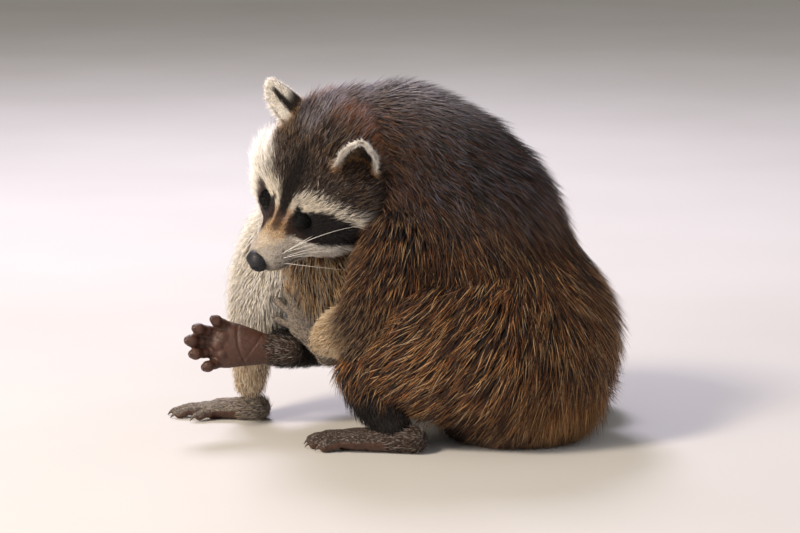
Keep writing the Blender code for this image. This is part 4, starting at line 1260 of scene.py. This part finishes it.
# ---------------------------------------------------------------- nose and whiskers
@dataclass
class Nose:
    """The leathery nose, in head centimetres."""

    head: Head

    def surface(self, rings: int = 90, sides: int = 110) -> Surface:
        """The pad: an ellipsoid, squared in front, with a middle groove and comma-shaped nostrils pressed in."""
        way = ball_ways(rings, sides)
        x, y, z = way[..., 0], way[..., 1], way[..., 2]
        grow = 1 + 0.05 * ease(x, 0.2, 0.9) * ease(np.abs(y), 0.2, 0.7) - 0.02
        groove = bell(y, 0.05) * ease(z, 0.35, -0.1) * ease(x, 0.0, 0.5)
        side = np.abs(y)
        hole = bell(np.hypot((side - 0.52) / 1.25, z + 0.08), 0.23) * (x > 0)
        slit = bell(z + 0.30 + 0.25 * (side - 0.6), 0.11) * ease(side, 0.45, 0.6) * ease(side, 1.0, 0.85) * (x > -0.2)
        dent = 0.10 * groove + 0.45 * hole + 0.28 * slit
        places = NOSE_CENTRE + way * NOSE_RADII * np.array([0.98, 0.97, 0.97]) * (grow - dent)[..., None]
        ahead = np.array([NOSE_RADII[0] * 0.96, 0, 0])
        return shell(places, NOSE_CENTRE + ahead, NOSE_CENTRE - ahead).moved(self.head.frame)


def whiskers(head: Head, rng: np.random.Generator) -> Surface:
    """Long whiskers from the pads of the upper lip and a few over the eyes: thin tapering rods, bent back.

    A rod follows root + L * (s * way + s^2 * bend), five-sided, its radius falling from 0.27 mm to a point.
    """
    parts = []
    for mirror in (1, -1):
        grid = [(i, j) for i in range(4) for j in range(3)]
        roots = [((8.0 - 0.42 * i, 1.42 + 0.14 * i, -2.30 - 0.33 * j), 4.6 + 1.1 * i + 0.3 * j) for i, j in grid]
        ways = [unit(np.array([-0.62 - 0.06 * i, 0.62 + 0.05 * j, 0.42 - 0.27 * j])) for i, j in grid]
        roots += [((3.9, 1.5 + 0.5 * k, 1.5), 3.4) for k in range(3)]
        ways += [unit(np.array([0.1, 0.35 + 0.2 * k, 0.85])) for k in range(3)]
        for (root, length), way in zip(roots, ways):
            flip = np.array([1, mirror, 1])
            way = unit(way + 0.10 * rng.normal(size=3)) * flip
            bend = np.array([-0.20, 0.05 * mirror, -0.22]) + 0.05 * rng.normal(size=3)
            s = np.linspace(0, 1, 14)[:, None]
            centre = np.array(root) * flip + length * (s * way + s * s * bend)
            radius = 0.027 * (1 - s) ** 0.8 + 0.002
            parts.append(tube(np.column_stack([centre, radius, radius]), np.array([0, 0.3, 1.0]), 14, 5))
    return joined(parts).moved(head.frame)


# ---------------------------------------------------------------- the coat
@dataclass
class Coat:
    """One piece of the coat: tufts grown from a skin.

    Attributes:
        name: the piece's name.
        skin: where it grows.
        count: how many tufts.
        growth: gives the tufts' growth for (places, normals, generator).
        weight: gives how densely tufts stand for (places, normals), 0 for none.
        seed: of the piece's random generator.
        bends: rings of corners along a tuft before its tip.
    """

    name: str
    skin: Surface
    count: int
    growth: Callable[[Array, Array, np.random.Generator], Growth]
    weight: Callable[[Array, Array], Array]
    seed: int
    bends: int = 2

    def roots(self, rng: np.random.Generator) -> tuple[Array, Array]:
        """Places and normals of the roots, spread by area times weight.

        The running total of the triangles' weighted areas is read at even steps, each moved at random within
        its step, and a root lies at a random place of the triangle found.
        """
        tris, points = self.skin.tris, self.skin.points
        normals = self.skin.normals()
        a, b, c = (points[tris[:, k]] for k in range(3))
        area = np.linalg.norm(np.cross(b - a, c - a), axis=1)
        middle = (a + b + c) / 3
        facing = unit(sum(normals[tris[:, k]] for k in range(3)))
        total = np.cumsum(area * self.weight(middle, facing))
        steps = (np.arange(self.count) + rng.random(self.count)) / self.count * total[-1]
        found = np.minimum(np.searchsorted(total, steps), len(tris) - 1)
        r, s = np.sqrt(rng.random(self.count)), rng.random(self.count)
        parts = np.stack([1 - r, r * (1 - s), r * s], axis=1)[..., None]
        places = (points[tris[found]] * parts).sum(axis=1)
        return places, unit((normals[tris[found]] * parts).sum(axis=1))

    def build(self) -> bpy.types.Mesh:
        """Makes the piece's mesh.

        A tuft's middle line is the curve root + 2s(1-s) L/2 (lie cos a + normal sin a) + s^2 L (lie cos b +
        normal sin b), with a over b, so that it leaves the skin and bends back along it. Three corners stand
        round it at each ring, left, right and ridge, and one at its tip. None goes below the floor.

        Returns:
            The mesh, with colours in "hair", shares along in "along" and the bake map.
        """
        rng = np.random.default_rng(self.seed)
        roots, normals = self.roots(rng)
        grown = self.growth(roots, normals, rng)
        lie = unit(grown.lie - dot(grown.lie, normals) * normals)
        side = np.cross(lie, normals)
        high, low = grown.lift[:, None] * 1.5, grown.lift[:, None] * 0.95
        knee = 0.5 * (lie * np.cos(high) + normals * np.sin(high))
        tip = lie * np.cos(low) + normals * np.sin(low)
        s = np.linspace(0, 1, self.bends + 1)
        reach = grown.length[:, None]
        rows, spots, hues, shares = [], [], [], []
        taper = np.interp(s, [0, 0.35, 0.7, 1], [0.8, 1.0, 0.62, 0.0])
        sway = side * (rng.normal(size=(self.count, 1)) * 0.10)
        corners = ((-0.5, 0.0, -1.0), (0.5, 0.0, 1.0), (0.0, 0.42, 0.0))
        for step, wide in zip(s, taper):
            bow = 2 * step * (1 - step) * knee + step * step * (tip + sway)
            centre = roots - normals * ROOT_DEPTH + reach * bow
            colour = grown.hues[0] * max(0, 1 - 2 * step) + grown.hues[2] * max(0, 2 * step - 1)
            colour = colour + grown.hues[1] * (1 - abs(2 * step - 1))
            for across, out, shift in corners if step < 1 else ((0.0, 0.0, 0.0),):
                rows.append(centre + grown.width[:, None] * wide * (side * across + normals * out))
                spots.append(grown.unwrap + TUFT_PATCH * np.array([0.5 * shift, step - 0.5]))
                hues.append(colour)
                shares.append(np.full(self.count, step))
        count = len(rows)
        points = np.stack(rows, axis=1).reshape(-1, 3)
        tris = (np.arange(self.count)[:, None, None] * count + self.pattern()[None]).reshape(-1, 3)
        hair, along = np.stack(hues, axis=1).reshape(-1, 3), np.stack(shares, axis=1).ravel()
        mesh = Surface(points, tris).on_floor().mesh(self.name, hair=hair, along=along)
        where = np.clip(np.stack(spots, axis=1).reshape(-1, 2), 0, 1)[tris.ravel()]
        mesh.uv_layers.new(name="OFBake").data.foreach_set("uv", where.astype(np.float32).ravel())
        return mesh

    def pattern(self) -> Array:
        """Triangles of one tuft: a cap at the root, walls between rings, and a point."""
        tris = [(0, 1, 2)]
        for ring in range(self.bends):
            for i, j in ((0, 1), (1, 2), (2, 0)):
                a, b = 3 * ring + i, 3 * ring + j
                if ring + 1 < self.bends:
                    tris += [(a, a + 3, b + 3), (a, b + 3, b)]
                else:
                    tris.append((a, 3 * self.bends, b))
        return np.array(tris)


def linked(mesh: bpy.types.Mesh) -> bpy.types.Object:
    """A new object of the mesh, in the scene, with its name."""
    piece = bpy.data.objects.new(mesh.name, mesh)
    bpy.context.scene.collection.objects.link(piece)
    return piece


# ---------------------------------------------------------------- materials
class Shader:
    """A new material and its nodes."""

    def __init__(self, name: str, **values: object) -> None:
        """Makes the material, with constant values on its Principled shader's own sockets."""
        self.material = bpy.data.materials.new(name)
        self.material.use_nodes = True
        self.tree = self.material.node_tree
        self.principled = self.tree.nodes["Principled BSDF"]
        for key, value in values.items():
            self.principled.inputs[key.replace("_", " ")].default_value = value

    def add(self, kind: str, out: str | int = 0, **settings: object) -> bpy.types.NodeSocket:
        """Adds a node.

        Args:
            kind: the node's type name, without its first word.
            out: the output wanted.
            settings: properties by name; values or sockets by input name, with _ for a space; a ramp's stops as
                (position, hex colour); or, as first, sockets for the first inputs in turn.

        Returns:
            The output.
        """
        node = self.tree.nodes.new("ShaderNode" + kind)
        for key, value in settings.items():
            name = key.replace("_", " ")
            if key == "stops":
                ramp = node.color_ramp.elements
                while len(ramp) < len(value):
                    ramp.new(0.5)
                for stop, (position, code) in zip(ramp, value):
                    stop.position, stop.color = position, (*linear(code), 1)
            elif key == "first":
                for socket, entry in zip(value, node.inputs):
                    self.tree.links.new(socket, entry)
            elif name not in node.inputs:
                setattr(node, key, value)
            elif isinstance(value, bpy.types.NodeSocket):
                self.tree.links.new(value, node.inputs[name])
            else:
                node.inputs[name].default_value = value
        return node.outputs[out]

    def done(self, **sockets: bpy.types.NodeSocket) -> bpy.types.Material:
        """Links outputs to the Principled shader's own sockets, and gives the material."""
        for key, socket in sockets.items():
            self.tree.links.new(socket, self.principled.inputs[key.replace("_", " ")])
        return self.material


@dataclass(frozen=True)
class HairKeratin:
    """Raccoon guard hair: keratin with a scaly cuticle, which gives a dull gloss along each hair.

    Attributes:
        name: material name.
        roughness: of the cuticle.
        sheen: strength of the soft light along edges of the coat.
        fleck: size in metres of the patches in which hairs differ in tone.
        gloss: strength of the reflection on each hair.
    """

    name: str
    roughness: float = 0.50
    sheen: float = 0.03
    fleck: float = 0.004
    gloss: float = 0.3

    def make(self) -> bpy.types.Material:
        """Builds the material: the tuft's own colour, darkened towards its root as painted shade, varied in small
        patches.
        """
        shader = Shader(
            self.name, IOR=1.55, Sheen_Weight=self.sheen, Roughness=self.roughness, Specular_IOR_Level=self.gloss
        )
        hair = shader.add("Attribute", "Color", attribute_name="hair")
        along = shader.add("Attribute", "Fac", attribute_name="along")
        places = shader.add("TexCoord", "Object")
        noise = shader.add("TexNoise", "Fac", Scale=1 / self.fleck, Detail=2.0, Vector=places)
        tone = shader.add("MapRange", From_Min=0.3, From_Max=0.7, To_Min=0.80, To_Max=1.15, Value=noise)
        # painted shade: the colour falls to 0.7 times at the root
        shade = shader.add("MapRange", From_Max=0.5, To_Min=0.70, To_Max=1.0, Value=along)
        both = shader.add("Math", operation="MULTIPLY", first=(tone, shade))
        return shader.done(Base_Color=shader.add("VectorMath", operation="SCALE", Vector=hair, Scale=both))


@dataclass(frozen=True)
class BeastSkin:
    """Skin under the coat and bare leather of soles, palms and lids: fine cross-hatched creases, their lines darkened
    in colour as painted shade, slightly oily.

    Attributes:
        name: material name.
        crease: spacing of the leather's creases in metres.
        strand: spacing in metres of the hair that the bump draws under the tufts.
    """

    name: str
    crease: float = 0.0014
    strand: float = 0.0009

    def make(self) -> bpy.types.Material:
        """Builds the material from the skin's "marking" colour and its share of "bare" leather."""
        shader = Shader(self.name, IOR=1.45)
        marking = shader.add("Attribute", "Color", attribute_name="marking")
        bare = shader.add("Attribute", "Fac", attribute_name="bare")
        places = shader.add("TexCoord", "Object")
        cells = shader.add("TexVoronoi", "Distance", feature="DISTANCE_TO_EDGE", Scale=1 / self.crease, Vector=places)
        # painted shade: the colour falls to 0.55 along the crease lines
        lines = shader.add("MapRange", From_Max=0.16, To_Min=0.55, To_Max=1.0, Value=cells)
        mottle = shader.add("TexNoise", "Fac", Scale=260.0, Detail=4.0, Vector=places)
        tone = shader.add("MapRange", From_Min=0.25, From_Max=0.75, To_Min=0.72, To_Max=1.25, Value=mottle)
        creased = shader.add("Math", operation="MULTIPLY", first=(tone, lines))
        hairs = shader.add("TexNoise", "Fac", Scale=1 / self.strand, Detail=2.0, Vector=places)
        height = shader.add("Mix", data_type="FLOAT", Factor=bare, A=hairs, B=creased)
        return shader.done(
            Base_Color=shader.add("VectorMath", operation="SCALE", Vector=marking, Scale=creased),
            Roughness=shader.add("MapRange", To_Min=0.85, To_Max=0.38, Value=bare),
            Normal=shader.add("Bump", Strength=0.55, Distance=0.0004, Height=height),
        )


@dataclass(frozen=True)
class NoseLeather:
    """Wet black nose leather: rounded grains about half a millimetre across under a thin film of moisture, bluish
    grey on their tops as painted sheen and near black between them as painted shade.
    """

    name: str
    grain: float = 0.0006

    def make(self) -> bpy.types.Material:
        """Builds the material."""
        shader = Shader(
            self.name, IOR=1.40, Roughness=0.50, Coat_Weight=0.10, Coat_Roughness=0.25, Specular_IOR_Level=0.5
        )
        cells = shader.add("TexVoronoi", "Distance", Scale=1 / self.grain, Vector=shader.add("TexCoord", "Object"))
        return shader.done(
            # painted sheen and shade: bluish grey on the grains' tops, near black in the grooves between them
            Base_Color=shader.add("ValToRGB", Fac=cells, stops=[(0.1, "#1c1d25"), (0.8, "#08080c")]),
            Normal=shader.add("Bump", Strength=0.5, Distance=0.0003, invert=True, Height=cells),
        )


@dataclass(frozen=True)
class Horn:
    """Keratin of claws and whiskers: faint fine mottling of a dark and a pale colour.

    Attributes:
        name: material name.
        dark: colour in the mottling's valleys.
        pale: colour on its ridges.
        roughness: of the surface.
    """

    name: str
    dark: str
    pale: str
    roughness: float = 0.38

    def make(self) -> bpy.types.Material:
        """Builds the material."""
        shader = Shader(self.name, IOR=1.55, Roughness=self.roughness)
        noise = shader.add("TexNoise", "Fac", Scale=700.0, Detail=3.0, Vector=shader.add("TexCoord", "Object"))
        return shader.done(
            Base_Color=shader.add("ValToRGB", Fac=noise, stops=[(0.35, self.dark), (0.7, self.pale)]),
            Normal=shader.add("Bump", Strength=0.2, Distance=0.0002, Height=noise),
        )


@dataclass(frozen=True)
class EyeGlass:
    """A raccoon's eye: near-black brown iris round a black pupil, under a wet clear cornea."""

    name: str

    def make(self) -> bpy.types.Material:
        """Builds the material from the eye's "iris" share, 1 at the middle of the gaze."""
        shader = Shader(self.name, IOR=1.38, Roughness=0.06, Coat_Weight=1.0, Coat_Roughness=0.03)
        gaze = shader.add("Attribute", "Fac", attribute_name="iris")
        stops = [(0.0, "#1a1210"), (0.45, "#1a1210"), (0.55, "#2e1a0e"), (0.80, "#160c07"), (0.86, "#020202")]
        iris = shader.add("ValToRGB", Fac=gaze, stops=stops)
        fibres = shader.add("TexNoise", "Fac", Scale=1800.0, Vector=shader.add("TexCoord", "Object"))
        varied = shader.add("MapRange", To_Min=0.7, To_Max=1.3, Value=fibres)
        return shader.done(Base_Color=shader.add("VectorMath", operation="SCALE", Vector=iris, Scale=varied))


@dataclass(frozen=True)
class PaleFloor:
    """Matt painted board for the floor: plain, pale and faintly uneven."""

    name: str

    def make(self) -> bpy.types.Material:
        """Builds the material."""
        shader = Shader(self.name, Roughness=0.9, Specular_IOR_Level=0.2)
        noise = shader.add("TexNoise", "Fac", Scale=3.0, Detail=2.0, Vector=shader.add("TexCoord", "Object"))
        return shader.done(Base_Color=shader.add("ValToRGB", Fac=noise, stops=[(0.3, "#c6c3be"), (0.7, "#cbc8c4")]))


# ---------------------------------------------------------------- the animal
@dataclass
class Raccoon:
    """The whole animal: builds each piece, dresses it and makes it stand for its nodes."""

    place: Place

    def __post_init__(self) -> None:
        """Sets up the body, the head, the ears and the paws."""
        self.body = Body(self.place)
        self.head = Head(self.place)
        self.ears = [
            Ear(self.head, 1, (-1.45, 4.25, 2.65), 4.25, (-0.06, 0.40, 0.90), (0.80, 0.60, 0.0), round=3.4),
            Ear(self.head, -1, (-2.70, -3.40, 3.05), 5.1, (0.17, -0.58, 0.95), (0.28, -0.92, -0.18), 1.75, round=1.5),
        ]
        self.paws = all_paws(self.place)
        self.hair = HairKeratin("raccoon_guard_hair").make()
        self.velvet = HairKeratin("lid_velvet", 0.8, 0.0, gloss=0.03).make()
        self.claw_horn = Horn("claw_horn", "#241d19", "#6d625a").make()

    def grow_skin(self) -> None:
        """Makes the skin as one piece, and marks it as the coat is marked."""
        rng = np.random.default_rng(5)
        head, frame = self.head, self.head.frame
        self.body_skin = self.body.skin()
        self.head_skin = head.surface().moved(frame)
        self.ear_skins = [ear.surface() for ear in self.ears]
        self.paw_skins = [paw.skin() for paw in self.paws]
        self.lid_skins = [head.lid(mirror, upper).moved(frame) for mirror in (1, -1) for upper in (True, False)]
        parts = [self.body_skin, self.head_skin, *self.ear_skins, *self.paw_skins, *self.lid_skins]
        hues = [self.body.hues(self.body_skin.points, rng)]
        hues.append(head.hues(seen_from(frame, self.head_skin.points), rng))
        hues += [ear.growth(skin.points, skin.normals(), rng).hues for ear, skin in zip(self.ears, self.ear_skins)]
        hues += [paw.hues(skin.points, rng) for paw, skin in zip(self.paws, self.paw_skins)]
        colours = [0.55 * (root + middle) * 0.5 + 0.2 * tip for root, middle, tip in hues]
        bares = [np.zeros(len(colour)) for colour in colours]
        for k, (paw, skin) in enumerate(zip(self.paws, self.paw_skins), len(parts) - 8):
            bares[k] = paw.bare(skin.points, skin.normals())
            colours[k] = blend(colours[k], RGB[Hue.SOLE], bares[k])
        for lid in self.lid_skins:
            colour, bare = self.lid_colours(lid)
            colours.append(colour)
            bares.append(bare)
        nodes = ["head", "neck", "trunk", "tail_base", "tail_tip", "ear_left", "ear_right"]
        limbs = ("upper_arm", "forearm", "thigh", "shank")
        nodes += [f"{part}_{side}" for part in limbs for side in ("left", "right")]
        nodes += [paw.name for paw in self.paws]
        mesh = joined(parts).mesh("skin", marking=np.concatenate(colours), bare=np.concatenate(bares))
        self.put(mesh, BeastSkin("raccoon_skin").make(), nodes)

    def lid_colours(self, lid: Surface) -> tuple[Array, Array]:
        """Black lids, their black halved as painted shade, with a paler bare rim at the slit."""
        p = seen_from(self.head.frame, lid.points)
        centre = np.array(self.head.eye) * (1, np.sign(p[:, 1].mean()), 1)
        inner = np.linalg.norm(p - centre, axis=1) < self.head.eye_radius * 1.10
        # painted shade: the lids' black is halved
        black = np.tile(0.5 * RGB[Hue.BLACK], (len(p), 1))
        return blend(black, RGB[Hue.PINK] * 0.6, inner), 0.6 * inner

    def off_slit(self, places: Array, normals: Array) -> Array:
        """True on the outside of a lid, short of its rim."""
        far = self.head.eye_distance(seen_from(self.head.frame, places)) + self.head.eye_radius
        return far > self.head.eye_radius * 1.115

    def lid_growth(self, places: Array, normals: Array, rng: np.random.Generator) -> Growth:
        """Black velvet on the lids, two to three and a half millimetres long, its black halved as painted shade."""
        grown = self.head.growth(places, normals, rng)
        grown.length = rng.uniform(0.0022, 0.0036, len(places))
        grown.lift[:] = 0.25
        grown.width[:] = 0.0004
        # painted shade: the velvet's black is halved
        grown.hues = 0.5 * Mix.BLACK.drawn(rng, len(places))
        return grown

    def put(self, mesh: bpy.types.Mesh, material: bpy.types.Material, nodes: list[str]) -> None:
        """Makes a piece of a mesh, on the animal's one body, in place of nodes."""
        mesh.materials.append(material)
        piece = linked(mesh)
        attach(piece, "root")
        if nodes:
            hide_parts(*nodes)
        LOG.info("%s: %d triangles", piece.name, len(mesh.polygons))

    def set_eyes(self) -> None:
        """Makes the eyeballs, with the cornea proud of the ball."""
        glass = EyeGlass("raccoon_eye").make()
        for side, mirror in (("left", 1), ("right", -1)):
            centre = np.array(self.head.eye) * (1, mirror, 1)
            eye = ball(centre, np.full(3, self.head.eye_radius), 40, 48)
            gaze = unit(np.array([0.80, 0.50 * mirror, -0.30]))
            facing = unit(eye.points - centre) @ gaze
            eye.points += (eye.points - centre) * (0.05 * ease(facing, 0.80, 0.92))[:, None]
            mesh = eye.moved(self.head.frame).mesh(f"eyeball_{side}", iris=np.clip(facing, 0, 1))
            self.put(mesh, glass, [f"eye_{side}"])

    def set_bare_pieces(self) -> None:
        """Makes the nose pad, the claws of each paw and the whiskers."""
        self.put(Nose(self.head).surface().mesh("nose_pad"), NoseLeather("nose_leather").make(), ["nose"])
        for paw in self.paws:
            nodes = [f"{paw.name}_claw_{k}" for k in range(1, 6)]
            self.put(paw.claws().mesh(f"{paw.name}_claws"), self.claw_horn, nodes)
        keratin = Horn("whisker_keratin", "#cfc8c0", "#f5f2ee", 0.35).make()
        self.put(whiskers(self.head, np.random.default_rng(8)).mesh("whiskers"), keratin, [])

    def coat_pieces(self) -> list[tuple[Coat, str]]:
        """The coat's pieces, each with its slot."""
        body, head = self.body, self.head

        def on_body(*names: str, side: int = 0) -> Callable[[Array, Array], Array]:
            """Density on the forms whose names start so, on one side of the animal where side is 1 or -1."""

            def weight(places: Array, normals: Array) -> Array:
                share, _, _ = body.shares(places)
                owned = [name for name in share if name.startswith(names)]
                best = np.stack(list(share.values())).argmax(axis=0)
                mine = np.isin(np.array(list(share))[best], owned)
                left = body.animal_frame(places)[1] > PARTING
                clear = ~head.inside(places) & (places[:, 2] > FLOOR_HAIR)
                return mine & clear & ((side == 0) | (left == (side > 0)))

            return weight

        def face(places: Array, normals: Array) -> Array:
            p = seen_from(head.frame, places)
            clear = np.linalg.norm((p - NOSE_CENTRE) / NOSE_RADII, axis=1) > 1.06
            return (p[:, 0] > FACE_END) * np.interp(p[:, 0], [FACE_END, 5, 7, 9.2], [0.75, 1.0, 1.25, 1.5]) * clear

        def mane(places: Array, normals: Array) -> Array:
            x = seen_from(head.frame, places)[:, 0]
            hidden = body.find_inside(places)
            return (x <= FACE_END) * (x > -5.9) * ~hidden * np.interp(x, [-5, 0, FACE_END], [0.7, 1.0, 1.3])

        pieces = [
            Coat("face_fur", self.head_skin, MOST_TUFTS, head.growth, face, 31),
            Coat("mane_fur", self.head_skin, MOST_TUFTS, head.growth, mane, 32),
        ]
        rows = (
            ("neck_fur", 12500, on_body("neck")),
            ("flank_left_fur", MOST_TUFTS, on_body("trunk", side=1)),
            ("flank_right_fur", 9500, on_body("trunk", side=-1)),
            ("haunch_fur", MOST_TUFTS, on_body("thigh", "shank")),
            ("breast_fur", MOST_TUFTS, on_body("chest", "foreleg")),
            ("tail_fur", 9500, on_body("tail")),
        )
        for seed, (name, count, weight) in enumerate(rows, 33):
            pieces.append(Coat(name, self.body_skin, count, body.growth, weight, seed))
        out = [(coat, "coat") for coat in pieces]
        for seed, (ear, skin) in enumerate(zip(self.ears, self.ear_skins), 41):
            side = "left" if ear.mirror > 0 else "right"
            out.append((Coat(f"ear_{side}_fur", skin, 5800, ear.growth, ear.density, seed), "ear_coat"))
        for k, skin in enumerate(self.lid_skins):
            out.append((Coat(f"lid_fur_{k}", skin, 700, self.lid_growth, self.off_slit, 61 + k), "coat"))
        for seed, (paw, skin) in enumerate(zip(self.paws, self.paw_skins), 51):
            out.append((Coat(f"{paw.name}_fur", skin, 2000, paw.growth, paw.covered, seed), "paw"))
        return out

    def build(self) -> None:
        """Makes every piece."""
        self.grow_skin()
        self.set_eyes()
        self.set_bare_pieces()
        for coat, slot in self.coat_pieces():
            self.put(coat.build(), self.velvet if coat.name.startswith("lid") else self.hair, [])


# ---------------------------------------------------------------- the studio
@dataclass(frozen=True)
class Studio:
    """Plain pale floor, soft lights and a camera.

    Attributes:
        aim: the place that the camera looks at, before the frame's shift.
        distance: from the aim to the camera, in metres.
        elevation: of the camera over the aim, in degrees.
        lens: focal length in millimetres on a 36 mm sensor.
    """

    aim: tuple[float, float, float] = (0.0, 0.0, 0.151)
    distance: float = 3.0
    elevation: float = 10.0
    lens: float = 150.0

    def build(self, place: Place) -> None:
        """Makes floor, lights and camera."""
        aim = Vector(np.array(self.aim) + place.shift)
        self.lay_floor()
        self.light(aim, (-1.7, -1.3, 2.0), 0.6, 76, "#fff0dc")  # the sun, high on the left
        self.light(aim, (-2.0, -1.5, 0.6), 1.0, 30, "#fff4e6")  # fill from the same side
        self.light(aim, (2.0, -1.8, 1.0), 1.8, 14, "#e9efff")  # sky from the right
        self.light(aim, (-0.4, 1.7, 1.9), 0.8, 62, "#efeaff")  # rim from behind
        world = bpy.data.worlds.new("studio")
        world.use_nodes = True
        sky = world.node_tree.nodes["Background"]
        sky.inputs["Color"].default_value = (*linear("#e9e6e2"), 1)
        sky.inputs["Strength"].default_value = 0.40
        bpy.context.scene.world = world
        angle = math.radians(self.elevation)
        back = Vector((0, -math.cos(angle), math.sin(angle))) * self.distance
        data = bpy.data.cameras.new("camera")
        data.lens, data.sensor_width = self.lens, 36.0
        data.clip_start, data.clip_end = 0.05, 60.0
        camera = bpy.data.objects.new("camera", data)
        camera.location = aim + back
        camera.rotation_euler = (-back).to_track_quat("-Z", "Y").to_euler()
        bpy.context.scene.collection.objects.link(camera)
        bpy.context.scene.camera = camera
        bpy.context.scene.view_settings.view_transform = "Standard"

    def lay_floor(self) -> None:
        """A round floor, 24 m across."""
        turn = np.linspace(0, 2 * math.pi, 97)[:-1]
        rim = np.stack([12 * np.cos(turn), 12 * np.sin(turn), 0 * turn], axis=1)
        mesh = bpy.data.meshes.new("floor")
        mesh.from_pydata(rim.tolist(), [], [list(range(len(rim)))])
        mesh.materials.append(PaleFloor("pale_floor").make())
        linked(mesh)

    def light(self, aim: Vector, offset: tuple[float, float, float], size: float, power: float, colour: str) -> None:
        """A square soft light, aimed at the animal."""
        data = bpy.data.lights.new("soft_light", "AREA")
        data.size, data.energy = size, power
        data.color = tuple(linear(colour))
        lamp = bpy.data.objects.new("soft_light", data)
        lamp.location = aim + Vector(offset)
        lamp.rotation_euler = (-Vector(offset)).to_track_quat("-Z", "Y").to_euler()
        bpy.context.scene.collection.objects.link(lamp)


def main() -> None:
    """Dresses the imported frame."""
    logging.basicConfig(level=logging.INFO, format="%(name)s %(message)s")
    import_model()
    place = Place.from_frame()
    Raccoon(place).build()
    Studio().build(place)


if __name__ == "__main__":
    main()
